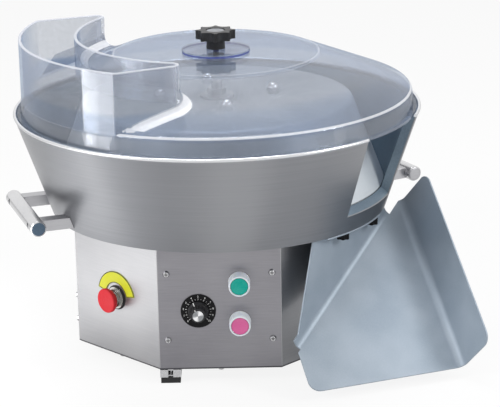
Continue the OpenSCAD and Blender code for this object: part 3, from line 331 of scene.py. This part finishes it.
# Cable gland
# A black moulded gland low in the back of the housing, without a cord.
black_moulding = finish("black_moulding", moulded((0.016, 0.016, 0.018), 0.34, 0.02, 0.0008))
dress(black_moulding, "cable_gland")

# Bowl
# A cone of brushed stainless sheet rolled over a bead at the rim, on a thick floor plate.
# Inside stands a thick wall with a blue-grey non-stick coat, cut out at the exit.
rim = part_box("bowl_skin")[1].z


def bowl_recipe(start):
    """Steel brushed round and round in broad bands, with the bead at the rim polished."""
    lines = start.noise((4, 4, 480), 3, 0.7)
    sweep = start.noise((7, 7, 0.6), 1)
    bands = sweep.step(0.3, 0.7)
    shade = (lines * 0.45 + bands * 0.55).step(0.1, 0.9).blend((0.215, 0.22, 0.235), (0.305, 0.31, 0.325))
    polished = start.height().step(rim - 0.0055, rim - 0.0045)
    shade = polished.blend(shade, (0.72, 0.73, 0.75))
    return start.node(
        "BsdfPrincipled",
        {},
        {
            "Base Color": shade,
            "Metallic": 1,
            "Roughness": 0.26 + lines * 0.10 - polished * 0.14,
            "Anisotropic": 0.65,
            "Normal": lines.bumps(0.07, 0.0002),
        },
    )


dress(finish("bowl_steel", bowl_recipe), "bowl_skin")


def coated(dark, light, roughness, speck, painted_light_level=None):
    """Sprayed non-stick coat: a pebbled skin with pale and dark flecks, painted paler below a given height
    as painted light.
    """

    def recipe(start):
        pebble = start.noise((700, 700, 700), 3, 0.6)
        cloud = start.noise((14, 14, 14), 2)
        shade = (pebble.step(0.38, 0.66) * speck + cloud.step(0.3, 0.7) * (1 - speck)).blend(dark, light)
        if painted_light_level:
            # Below the level the coat is painted paler, painted light on the lower flank.
            painted_light = 1 - start.height().step(painted_light_level - 0.02, painted_light_level + 0.02)
            shade = painted_light.blend(shade, pebble.blend((0.50, 0.54, 0.57), (0.66, 0.70, 0.73)))
        return start.node(
            "BsdfPrincipled",
            {},
            {
                "Base Color": shade,
                "Metallic": 0.35,
                "Roughness": roughness + pebble * 0.12,
                "Normal": pebble.bumps(0.25, 0.0002, start.eased(0.001)),
            },
        )

    return recipe


wall_coat = finish("wall_coat", coated((0.10, 0.14, 0.18), (0.20, 0.26, 0.31), 0.38, 0.5))
dress(wall_coat, "bowl_wall", "bowl_floor")

# Drive
# Bearing housing, shaft, pulleys, belt and motor inside the base, all hidden when it is closed.
machined = finish(
    "machined", brushed((0.50, 0.51, 0.53), (0.62, 0.63, 0.65), 0.30, (200, 200, 200), 0, 0.0005)
)
dress(
    machined,
    "bearing_housing", "motor_plate", "motor_standoffs", "motor_shields", "rotor_hub", "driven_pulley",
    "motor_pulley", "drive_shaft", "motor_shaft", "shaft_bearings", "shaft_nut", "pot_shaft",
)
dark_paint = finish("dark_paint", moulded((0.07, 0.07, 0.08), 0.40, 0.05, 0.001, 500))
dress(dark_paint, "motor_body", "speed_drive")
grey_moulding = finish("grey_moulding", moulded((0.24, 0.25, 0.27), 0.42, 0.06, 0.0008))
dress(grey_moulding, "terminal_block", "potentiometer", "contact_blocks", "estop_block")

# Rotor
# The coated cone that rolls the dough, bolted down by dome nuts on its flat top.
# Below this height the rotor's coat is painted paler as painted light falling on its lower flank.
rotor_painted_light_level = 0.29
rotor_coat = finish(
    "rotor_coat", coated((0.31, 0.335, 0.365), (0.48, 0.505, 0.53), 0.42, 0.6, rotor_painted_light_level)
)
dress(rotor_coat, "rotor_cone")
dress(screw_steel, "rotor_nuts")

# Handles
# A round bright bar on two flat brackets each side of the bowl, held by sunk bolts.
bar_steel = finish(
    "bar_steel", brushed((0.60, 0.60, 0.615), (0.74, 0.74, 0.75), 0.14, (260, 260, 30), 0, 0.0005)
)
dress(bar_steel, "handle_bars")
bracket_steel = finish(
    "bracket_steel", brushed((0.42, 0.42, 0.44), (0.54, 0.54, 0.555), 0.24, (6, 6, 300), 0, 0.0008)
)
dress(bracket_steel, "handle_brackets")
bolt_steel = finish("bolt_steel", moulded((0.05, 0.055, 0.065), 0.36, 0.05, 0.0005))
dress(bolt_steel, "handle_bolts")

# The turned end faces of the left bar are given a dark bluish colour, a painted reflection of the dark that
# the machined faces mirror.
low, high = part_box("handle_bars")
bar_level = (low.z + high.z) / 2
painted_dark_end = finish(
    "bar_end", brushed((0.07, 0.11, 0.16), (0.13, 0.18, 0.24), 0.30, (400, 400, 400), 0, 0.0003)
)
end_outline = [(0, 0.0004), (0.0035, 0.0003), (0.0091, 0.0004), (0.0098, 0), (0, -0.0005)]
end_face = turned("bar_end_1", end_outline, 48)
bar_ends = [end_face] + [copied(end_face, f"bar_end_{n}") for n in (2, 3, 4)]
left_turn, right_turn = 198, 29
bar_from_axis, half_bar = 0.29499, 0.084
ends = ((left_turn, 1), (left_turn, -1), (right_turn, 1), (right_turn, -1))
for face, (turn, way) in zip(bar_ends, ends):
    out = Vector((math.cos(math.radians(turn)), math.sin(math.radians(turn)), 0))
    along = way * Vector((-out.y, out.x, 0))
    spot = Matrix.Translation(bar_from_axis * out + half_bar * along + Vector((0, 0, bar_level)))
    dark = turn == left_turn
    settle(
        face,
        spot @ along.to_track_quat("Z", "Y").to_matrix().to_4x4(),
        painted_dark_end if dark else bracket_steel,
        "base",
    )

# Lid
# One sheet of clear plastic formed into flange, skirt, cone, crown and an open hopper.
# A thicker clear disc doubles the crown below the knob.
hopper_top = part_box("lid_shell")[1].z
crown_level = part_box("lid_disc")[0].z
hopper_height = 0.0835
shoulder_level = hopper_top - hopper_height
shoulder_radius, crown_radius = 0.287, 0.151
inner_radius, corner_radius = 0.202, 0.013
# An end wall of the hopper: the way it faces in degrees, its distance from the axis, the side of its corner.
hopper_ends = ((295, 0.174, -1), (110, 0.182, 1))


def clear(haze, tint, deep, mirror, highlight_mask=None, bent=0, deeper=None):
    """Clear formed sheet: a faint tint, deeper on edge, glossy, hazed by use and whitened with painted
    highlights where a mask says.
    """

    def recipe(start):
        facing = start.node("LayerWeight", {}, {"Blend": 0.5}, "Facing")
        scuffs = start.noise((150, 150, 150), 4, 0.65)
        thin = start.node("BsdfTransparent", {}, {"Color": (*tint, 1)})
        thick = start.node("BsdfTransparent", {}, {"Color": (*deep, 1)})
        depth = facing.step(0.55, 1)
        if deeper:
            depth = depth.math("MAXIMUM", depth, deeper(start))
        sheet = start.node("MixShader", {}, {0: depth, 1: thin, 2: thick})
        polish = scuffs.step(0.4, 0.9) * 0.10 + 0.03
        if bent:
            body = start.node(
                "BsdfPrincipled",
                {},
                {
                    "Base Color": scuffs.blend((*tint,), (0.80, 0.81, 0.83)),
                    "Roughness": polish,
                    "IOR": 1.49,
                    "Transmission Weight": 1,
                },
            )
            shadow = start.node("LightPath", {}, {}, "Is Shadow Ray")
            sheet = start.node("MixShader", {}, {0: bent - shadow * bent, 1: sheet, 2: body})
        shine = start.node(
            "BsdfPrincipled", {}, {"Base Color": (0.95, 0.96, 1, 1), "Metallic": 1, "Roughness": polish}
        )
        steep = facing.math("POWER", facing, 4)
        sheet = start.node("MixShader", {}, {0: steep * mirror + 0.03, 1: sheet, 2: shine})
        tone = scuffs.blend((0.66, 0.68, 0.74), (0.76, 0.78, 0.84))
        amount = scuffs.step(0.3, 0.8) * 0.05 + haze
        if highlight_mask:
            # Where the mask says, a white bloom is mixed in as painted highlight.
            white = highlight_mask(start)
            tone = white.blend(tone, (0.86, 0.87, 0.90))
            amount = amount + white * 0.66
        bloom = start.node("BsdfPrincipled", {}, {"Base Color": tone, "Roughness": 0.3})
        return start.node("MixShader", {}, {0: amount, 1: sheet, 2: bloom})

    return recipe


def corner_middle(depth, side):
    """Middle of the round inner corner of an end wall, in the wall's own directions."""
    reach = inner_radius + corner_radius
    return Vector((depth - corner_radius, side * math.sqrt(reach**2 - (depth - corner_radius) ** 2), 0))


def crown_line(from_axis, z):
    """A fine line where the cone meets the crown, for the painted highlight and painted dark line of its
    bend.
    """
    inner = from_axis.step(crown_radius - 0.0018, crown_radius - 0.0012)
    outer = from_axis.step(crown_radius + 0.0008, crown_radius + 0.0014)
    return (inner - outer) * (1 - z.step(crown_level + 0.001, crown_level + 0.002))


def painted_highlights(start):
    """Painted highlights on the sheet: the lit part of the fillets, the hopper's corners, lines at shoulder
    and crown.
    """
    x, y, z = start.place().axes()
    from_axis = x.hypot(y)
    lean, _, rise = start.facing()
    fillet = rise.step(0.50, 0.66) - rise.step(0.905, 0.922)
    line = rise.step(0.4, 0.5) - rise.step(0.82, 0.88)
    at_shoulder = from_axis.step(shoulder_radius - 0.0115, shoulder_radius - 0.0105)
    white = fillet * (1 - at_shoulder) + line * at_shoulder * 0.85
    upright = 1 - abs(rise).step(0.05, 0.1)
    turned_right = lean.step(0.80, 0.95)
    # The hopper's inner corners get a painted highlight, strongest where they face right.
    for turn, depth, side in hopper_ends:
        middle = Matrix.Rotation(math.radians(turn), 3, "Z") @ corner_middle(depth, side)
        away = (x - middle.x).hypot(y - middle.y)
        near = 1 - away.step(corner_radius - 0.0005, corner_radius + 0.0015)
        white = white + near * upright * (0.15 + turned_right * 0.75)
    white = white + crown_line(from_axis, z) * 0.4
    return white.math("MINIMUM", white, 1)


def low_tint(start):
    """The sheet is thickest low on the cone and on the skirt, where it was drawn least; at the crown it adds
    a painted dark line.
    """
    x, y, z = start.place().axes()
    from_axis = x.hypot(y)
    low_zone = z.step(shoulder_level - 0.0075, shoulder_level - 0.0025)
    low_zone = low_zone - z.step(shoulder_level + 0.0185, shoulder_level + 0.0285)
    return from_axis.step(0.18, 0.28) * 0.6 * low_zone + crown_line(from_axis, z)


# Broad fillets run along the feet of the hopper's end walls and swing round its inner corners.
cone_foot_radius = 0.2825
fillet_reach, corner_gain = 0.022, 0.005


def cone_level(spot):
    """Height of the lid's cone above a place."""
    inward = (shoulder_radius - spot.xy.length) / (shoulder_radius - crown_radius)
    return shoulder_level + (crown_level - shoulder_level) * min(inward, 1)


def foot_stations(turn, depth, side, first):
    """Places along the foot of an end wall and round its corner: point, way out and the fillet's reach."""
    facing = Matrix.Rotation(math.radians(turn), 3, "Z")
    middle = corner_middle(depth, side)
    along = abs(middle.y)
    sweep = math.pi - math.acos((depth - corner_radius) / (inner_radius + corner_radius))
    straight_steps, round_steps = 8, 36
    stations = []
    for step in range(straight_steps + 1):
        far = first + (along - first) * step / straight_steps
        width = min(fillet_reach, math.sqrt(cone_foot_radius**2 - far**2) - depth)
        stations.append((facing @ Vector((depth, side * far, 0)), facing @ Vector((1, 0, 0)), width))
    for step in range(1, round_steps + 1):
        angle = -side * sweep * step / round_steps
        out = Vector((math.cos(angle), math.sin(angle), 0))
        width = fillet_reach + corner_gain * step / round_steps
        stations.append((facing @ (middle + corner_radius * out), facing @ out, width))
    return stations


def lofted(name, sections):
    """A closed strip through a row of sections with equal numbers of points."""
    rows, around = len(sections) - 1, len(sections[0])
    bpy.ops.object.select_all(action="DESELECT")
    bpy.ops.mesh.primitive_grid_add(x_subdivisions=rows, y_subdivisions=around, size=2, location=(0, 0, 0))
    strip = bpy.context.object
    strip.name = name
    bpy.ops.object.mode_set(mode="EDIT")
    mesh = bmesh.from_edit_mesh(strip.data)
    for point in mesh.verts:
        row = round((point.co.x + 1) / 2 * rows)
        turn = round((point.co.y + 1) / 2 * around)
        point.co = sections[row][turn % around]
    bmesh.update_edit_mesh(strip.data)
    bpy.ops.mesh.select_all(action="SELECT")
    bpy.ops.mesh.remove_doubles(threshold=0.000001)
    bpy.ops.mesh.select_all(action="SELECT")
    bpy.ops.mesh.fill_holes(sides=0)
    outward()
    return strip


def cleared(spot, out, _):
    """Section of what is taken off before a fillet goes on: all that stands on the cone beside the wall."""
    clear_of, far, top = 0.00005, 0.048, 0.036
    floor = [spot + (clear_of + (far - clear_of) * n / 5) * out for n in range(6)]
    points = [Vector((p.x, p.y, cone_level(p) + clear_of)) for p in floor]
    level = cone_level(spot) + top
    return points + [Vector((floor[5].x, floor[5].y, level)), Vector((floor[0].x, floor[0].y, level))]


def filleted(spot, out, width):
    """Section of a concave fillet between wall and cone, sunk a little into both."""
    sink = 0.0012
    foot = Vector((spot.x, spot.y, cone_level(spot)))
    toe = spot + width * out
    toe = Vector((toe.x, toe.y, cone_level(toe)))
    top = foot + Vector((0, 0, width))
    curve = []
    for n in range(21):
        t = n / 20
        curve.append((1 - t) ** 2 * top + 2 * t * (1 - t) * foot + t * t * toe)
    down = Vector((0, 0, -sink))
    return curve + [toe + down, foot - sink * out + down, top - sink * out]


def lid_copy(name):
    """A merged copy of the lid's sheet to work on."""
    piece = copied(made_in_cad["lid_shell"], name)
    alone(piece)
    bpy.ops.mesh.customdata_custom_splitnormals_clear()
    bpy.ops.object.mode_set(mode="EDIT")
    bpy.ops.mesh.select_all(action="SELECT")
    bpy.ops.mesh.remove_doubles(threshold=0.000005)
    bpy.ops.object.mode_set(mode="OBJECT")
    return piece


lid_piece = lid_copy("lid_formed")
cleared_from, filleted_from = 0.19, 0.2165
for turn, depth, side in hopper_ends:
    cut_way = foot_stations(turn, depth, side, cleared_from)[:-1]
    fillet_way = foot_stations(turn, depth, side, filleted_from)
    away = lofted("cleared", [cleared(*station) for station in cut_way])
    added = lofted("filleted", [filleted(*station) for station in fillet_way])
    for tool, work in ((away, "DIFFERENCE"), (added, "UNION")):
        alone(lid_piece)
        bpy.ops.object.modifier_add(type="BOOLEAN")
        lid_piece.modifiers[0].operation = work
        lid_piece.modifiers[0].solver = "EXACT"
        lid_piece.modifiers[0].object = tool
        bpy.ops.object.modifier_apply(modifier=lid_piece.modifiers[0].name)
        bpy.data.objects.remove(tool)
bpy.ops.object.shade_smooth_by_angle(angle=math.radians(2))
clear_plastic = finish(
    "clear_plastic", clear(0.04, (0.84, 0.855, 0.88), (0.60, 0.685, 0.81), 0.35, painted_highlights, 0.12, low_tint)
)
settle(lid_piece, Matrix.Identity(4), clear_plastic, "lid")
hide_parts("lid_shell")


def violet_edge(start):
    """Deep violet where the thick disc is seen through its turned edge."""
    edge = 1 - abs(start.facing()[2]).step(0.1, 0.4)
    edge = edge * (1 - start.height().step(crown_level + 0.0026, crown_level + 0.0032))
    tone = start.noise((60, 60, 60)).blend((0.03, 0.045, 0.24), (0.09, 0.12, 0.42))
    rim = start.node("BsdfPrincipled", {}, {"Base Color": tone, "Roughness": 0.08})
    flat = clear(0.05, (0.865, 0.878, 0.90), (0.60, 0.64, 0.74), 0.4)(start)
    return start.node("MixShader", {}, {0: edge * 0.85, 1: flat, 2: rim})


dress(finish("disc_plastic", violet_edge), "lid_disc")

# The free edge of the hopper is rolled over into a thick rounded rim; its high haze whitens it as painted
# highlight where it catches the light.
rim_piece = lid_copy("hopper_rim")
rim_height, rim_round = 0.0018, 0.0016


def pick(kind, test):
    """In edit mode, selects the points, edges or faces that pass a test."""
    bpy.ops.mesh.select_mode(type=kind)
    bpy.ops.mesh.select_all(action="DESELECT")
    mesh = bmesh.from_edit_mesh(bpy.context.object.data)
    for part in {"VERT": mesh.verts, "EDGE": mesh.edges, "FACE": mesh.faces}[kind]:
        if test(part):
            part.select_set(True)
    mesh.select_flush_mode()
    bmesh.update_edit_mesh(bpy.context.object.data)


bpy.ops.object.mode_set(mode="EDIT")
pick("FACE", lambda face: face.normal.z < 0.99 or face.calc_center_median().z < hopper_top - 0.0002)
bpy.ops.mesh.delete(type="FACE")
bpy.ops.mesh.select_all(action="SELECT")
drawn((0, 0, rim_height))
pick(
    "EDGE",
    lambda edge: all(v.co.z > hopper_top + rim_height - 0.0001 for v in edge.verts)
    and any(abs(face.normal.z) < 0.5 for face in edge.link_faces),
)
bpy.ops.mesh.bevel(offset=rim_round, segments=3, profile=0.5, affect="EDGES")
bpy.ops.mesh.select_mode(type="VERT")
outward()
bpy.ops.object.shade_smooth_by_angle(angle=math.radians(50))
# The high haze is painted highlight on the rim.
rim_plastic = finish("rim_plastic", clear(0.62, (0.92, 0.94, 0.97), (0.78, 0.81, 0.90), 0.7))
settle(rim_piece, Matrix.Identity(4), rim_plastic, "lid")

# The black star knob has a grey plug in the dish of its head.
dress(black_moulding, "lid_knob")
dress(screw_steel, "lid_nut")
knob_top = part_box("lid_knob")[1].z
plug_outline = [(0, 0.0004), (0.0055, 0.0004), (0.0062, 0.0009), (0.0110, 0.0009)]
plug_outline += [(0.0122, 0.0013), (0.0134, 0.0008), (0.0134, 0.0001), (0, 0.0001)]
plug = turned("knob_plug", plug_outline, 48)
settle(plug, Matrix.Translation((0, 0, knob_top - 0.0020)), grey_moulding, "lid")

# Speed dial
# Black scale plate with white ticks and numbers, black fluted knob with a spun aluminium cap.
dress(black_moulding, "dial_knob")
dress(finish("dial_black", moulded((0.006, 0.006, 0.007), 0.38, 0.006, 0.0003, 900, 0.12)), "dial_plate")
cap_low, cap_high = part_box("dial_cap")


def spun_recipe(start):
    """Spun aluminium with two pale beams painted across its face as painted highlights."""
    x, _, z = start.place().axes()
    turn = start.math("ARCTAN2", z - (cap_low.z + cap_high.z) / 2, x - (cap_low.x + cap_high.x) / 2)
    # The beams are painted highlights laid into the colour by the angle round the cap.
    painted_beams = start.math("COSINE", (turn - 0.9) * 2, 0).step(-0.4, 1)
    rings = start.noise((900, 900, 900), 2)
    shade = (painted_beams * 0.85 + rings * 0.15).blend((0.22, 0.23, 0.24), (0.92, 0.92, 0.93))
    return start.node(
        "BsdfPrincipled", {}, {"Base Color": shade, "Metallic": 1, "Roughness": 0.22 + rings * 0.1}
    )


dress(finish("spun_aluminium", spun_recipe), "dial_cap")


def on_panel(node, out):
    """Local frame on the front panel at a piece's middle: z out of the panel, y up."""
    low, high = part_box(node)
    middle = Matrix.Translation(((low.x + high.x) / 2, out, (low.z + high.z) / 2))
    return middle @ Matrix.Rotation(math.pi / 2, 4, "X")


def joined(pieces, name):
    """Several pieces made into one."""
    bpy.ops.object.select_all(action="DESELECT")
    for piece in pieces:
        piece.select_set(True)
    bpy.context.view_layer.objects.active = pieces[0]
    bpy.ops.object.transform_apply(location=True, rotation=True, scale=True)
    bpy.ops.object.join()
    whole = bpy.context.object
    whole.name = name
    return whole


def thickened(piece, thickness):
    """Gives a bare surface its thickness."""
    alone(piece)
    sheet = piece.modifiers.new("thickness", "SOLIDIFY")
    sheet.thickness = thickness
    sheet.offset = 1
    bpy.ops.object.modifier_apply(modifier=sheet.name)


# Ticks and numbers are printed in white round the plate, with a half tick between each two.
print_white = finish("print_white", moulded((0.80, 0.80, 0.79), 0.45, 0.3, 0.00005))
plate_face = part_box("dial_plate")[0].y
marks = []
first_turn, half_tick_turn = 135, 13.5
tick_radius, figure_radius, print_height = 0.0175, 0.0214, 0.00006
for count in range(21):
    turn = math.radians(first_turn - half_tick_turn * count)
    long = count % 2 == 0
    bpy.ops.object.select_all(action="DESELECT")
    bpy.ops.mesh.primitive_cube_add(size=1)
    mark = bpy.context.object
    bpy.ops.object.mode_set(mode="EDIT")
    bpy.ops.mesh.select_all(action="SELECT")
    bpy.ops.transform.resize(value=(0.0007 if long else 0.0005, 0.0026 if long else 0.0014, 0.00012))
    pick("FACE", lambda face: face.normal.y < -0.9)
    bpy.ops.transform.resize(value=(0.55, 1, 1))
    bpy.ops.mesh.select_mode(type="VERT")
    bpy.ops.object.mode_set(mode="OBJECT")
    mark.matrix_world = Matrix.Rotation(turn, 4, "Z") @ Matrix.Translation((0, tick_radius, print_height))
    marks.append(mark)
    if long:
        bpy.ops.object.text_add()
        figure = bpy.context.object
        figure.data.body = str(count // 2)
        figure.data.size = 0.0042
        figure.data.align_x = "CENTER"
        figure.data.align_y = "CENTER"
        figure.data.extrude = print_height
        figure.data.resolution_u = 3
        bpy.ops.object.convert(target="MESH")
        figure = bpy.context.object
        figure.location = Matrix.Rotation(turn, 3, "Z") @ Vector((0, figure_radius, print_height))
        marks.append(figure)
scale_print = joined(marks, "dial_scale")
settle(scale_print, on_panel("dial_plate", plate_face), print_white, "base")

# The pointer is a white line over the knob's front and skirt, a little left of upright.
pointer_lines = []
pointer_width, pointer_turn = 0.0014, 28
over_front = [(0.0080, 0.01805), (0.0099, 0.01805)]
over_skirt = [(0.0108, 0.00405), (0.0130, 0.00405), (0.0149, 0.00025)]
for path in (over_front, over_skirt):
    line = dot((-pointer_width / 2, *path[0]))
    drawn((pointer_width, 0, 0))
    bpy.ops.mesh.select_all(action="SELECT")
    for before, after in zip(path, path[1:]):
        drawn((0, after[0] - before[0], after[1] - before[1]))
    bpy.ops.object.mode_set(mode="OBJECT")
    thickened(line, 0.0002)
    pointer_lines.append(line)
pointer = joined(pointer_lines, "dial_pointer")
bpy.ops.object.mode_set(mode="EDIT")
outward()
knob_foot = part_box("dial_knob")[1].y
spot = on_panel("dial_knob", knob_foot) @ Matrix.Rotation(math.radians(pointer_turn), 4, "Z")
settle(pointer, spot, print_white, "speed_dial")

# Push buttons
# Bright rings on the panel carry tall milky guards round a green and a red-pink cap.
dress(screw_steel, "button_rings")


def milky_recipe(start):
    """Milky plastic that lets some light into its body."""
    cloud = start.noise((120, 120, 120), 2)
    return start.node(
        "BsdfPrincipled",
        {},
        {
            "Base Color": cloud.step(0.3, 0.7).blend((0.80, 0.87, 0.95), (0.90, 0.94, 0.99)),
            "Roughness": 0.28 + cloud * 0.1,
            "Transmission Weight": 0.2,
            "Subsurface Weight": 0.3,
            "Subsurface Radius": (0.004, 0.004, 0.005),
        },
    )


dress(finish("milky_plastic", milky_recipe), "button_guards")
dress(finish("green_moulding", moulded((0.0, 0.34, 0.27), 0.30, 0.04, 0.0006, 900, 0.15)), "start_cap")
dress(finish("pink_moulding", moulded((0.64, 0.12, 0.31), 0.30, 0.04, 0.0006, 900, 0.15)), "stop_cap")

# Emergency stop
# Red mushroom head on a bright collar, a yellow legend arc behind it on the slanting face.
dress(finish("red_moulding", moulded((0.54, 0.012, 0.022), 0.34, 0.02, 0.0008, 900, 0.15)), "estop_head")
collar_chrome = finish(
    "collar_chrome", brushed((0.32, 0.32, 0.31), (0.48, 0.48, 0.46), 0.14, (80, 80, 80), 0, 0.0004)
)
dress(collar_chrome, "estop_collar", "estop_stem")
dress(finish("yellow_plate", moulded((0.56, 0.57, 0.006), 0.40, 0.04, 0.0004)), "estop_legend")

# A black seal lies under the collar, and a black line is printed round the bare legend.
face_depth, stop_level = 0.211, 0.110
left_face = Matrix.Rotation(math.radians(-45), 4, "Z") @ Matrix.Translation((0, -face_depth, stop_level))
left_face = left_face @ Matrix.Rotation(math.pi / 2, 4, "X")
seal_outline = [(0.0161, 0), (0.0180, 0), (0.0180, 0.0010), (0.0174, 0.0018), (0.0161, 0.0018), (0.0161, 0)]
seal = turned("stop_seal", seal_outline, 64)
settle(seal, left_face, pad_rubber, "base")
edges = []
legend_face = Vector((0, 0, 0.00102))
for inner, outer, first_turn, sweep in ((0.0376, 0.0389, 167, 154), (0.0222, 0.0232, 166, 152)):
    way = Vector((math.cos(math.radians(first_turn)), math.sin(math.radians(first_turn)), 0))
    edges.append(dot(inner * way + legend_face))
    drawn((outer - inner) * way)
    bpy.ops.mesh.select_all(action="SELECT")
    bpy.ops.mesh.spin(steps=48, angle=math.radians(sweep), center=(0, 0, 0), axis=(0, 0, 1))
    bpy.ops.object.mode_set(mode="OBJECT")
end_begins, end_length, end_width = 0.0224, 0.0162, 0.0011
for turn, side in ((13, 1), (167, -1)):
    way = Vector((math.cos(math.radians(turn)), math.sin(math.radians(turn)), 0))
    edges.append(dot(end_begins * way + legend_face))
    drawn(end_length * way)
    bpy.ops.mesh.select_all(action="SELECT")
    drawn(end_width * side * Vector((-way.y, way.x, 0)))
    bpy.ops.object.mode_set(mode="OBJECT")
border = joined(edges, "legend_border")
thickened(border, 0.0001)
bpy.ops.object.mode_set(mode="EDIT")
outward()
settle(border, left_face, black_moulding, "base")

# Chute
# One sheet with the blue-grey coat, folded into floor, wall, back flap and flange.
# Two black thumb knobs clamp the flange below the bowl.
dress(finish("chute_coat", coated((0.29, 0.345, 0.405), (0.38, 0.435, 0.495), 0.44, 0.3)), "chute_sheet")
thumb_black = finish("thumb_black", moulded((0.006, 0.006, 0.007), 0.45, 0.006, 0.0006, 900, 0.1))
dress(thumb_black, "left_thumb_knob", "right_thumb_knob")

# Studio
# A pale floor that runs out to a white room, three soft lamps, two low ones at the left, and the camera.
bpy.ops.object.select_all(action="DESELECT")
bpy.ops.mesh.primitive_plane_add(size=30, location=(0, 0, 0))
floor = bpy.context.object
floor.name = "floor"


def floor_recipe(start):
    """White paper that the camera sees without its shadows getting deep."""
    seen = start.node("LightPath", {}, {}, "Is Camera Ray")
    glossy = start.node("LightPath", {}, {}, "Is Glossy Ray")
    through = start.node("LightPath", {}, {}, "Is Transmission Ray")
    tone = start.noise((3, 3, 3)).blend((0.80, 0.80, 0.80), (0.82, 0.82, 0.82))
    paper = start.node("BsdfDiffuse", {}, {"Color": tone})
    white = start.node("Emission", {}, {"Color": (1, 1, 1, 1), "Strength": 1})
    shown = seen * 0.88 + (glossy + through) * 0.2
    return start.node("MixShader", {}, {0: shown, 1: paper, 2: white})


floor.data.materials.append(finish("floor_paper", floor_recipe))

room = bpy.data.worlds.new("room")
room.use_nodes = True
room.node_tree.nodes.clear()
air = Value(room.node_tree)
shown = air.node("LightPath", {}, {}, "Is Camera Ray")
for kind in ("Is Glossy Ray", "Is Transmission Ray"):
    shown = shown + air.node("LightPath", {}, {}, kind)
strength = air.node("MapRange", {}, {"Value": shown, "To Min": 0.45, "To Max": 1})
shine = air.node("Background", {}, {"Color": (1, 1, 1, 1), "Strength": strength})
air.node("OutputWorld", {}, {"Surface": shine})
bpy.context.scene.world = room


def lamp(name, place, aim, across, power):
    """A soft lamp at a place, pointed at another."""
    bpy.ops.object.select_all(action="DESELECT")
    bpy.ops.object.light_add(type="AREA", location=place)
    made = bpy.context.object
    made.name = name
    made.data.shape = "RECTANGLE"
    made.data.size, made.data.size_y = across
    made.data.energy = power
    made.rotation_euler = (Vector(aim) - Vector(place)).to_track_quat("-Z", "Y").to_euler()


lamp("left_softbox", (-2.2, -1.6, 1.9), (0, 0, 0.25), (0.9, 0.9), 32)
lamp("left_floor", (-0.55, -0.15, 0.18), (-0.55, -0.15, 0), (0.4, 0.5), 1.3)
lamp("left_card", (-0.94, -0.50, 0.17), (-0.176, -0.224, 0.41), (0.36, 0.3), 2)
lamp("right_softbox", (2.4, -1.0, 1.7), (0, 0, 0.25), (0.8, 0.9), 32)
lamp("top_softbox", (0, 0.3, 2.6), (0, 0, 0.3), (1.2, 0.9), 30)

yaw, pitch, roll = (math.radians(a) for a in (0.06, 17.27, -1.11))
ahead = Vector((math.sin(yaw) * math.cos(pitch), math.cos(yaw) * math.cos(pitch), -math.sin(pitch)))
level = Vector((math.cos(yaw), -math.sin(yaw), 0))
upward = level.cross(ahead)
right = math.cos(roll) * level + math.sin(roll) * upward
above = math.cos(roll) * upward - math.sin(roll) * level
bpy.ops.object.select_all(action="DESELECT")
bpy.ops.object.camera_add()
camera = bpy.context.object
camera.name = "camera"
stand = Matrix.Translation((0.0426, -2.9823, 1.1284))
camera.matrix_world = stand @ Matrix((right, above, -ahead)).transposed().to_4x4()
camera.data.sensor_width = 36
camera.data.lens = 150.06
camera.data.clip_end = 60
bpy.context.scene.camera = camera
bpy.context.scene.view_settings.view_transform = "Standard"
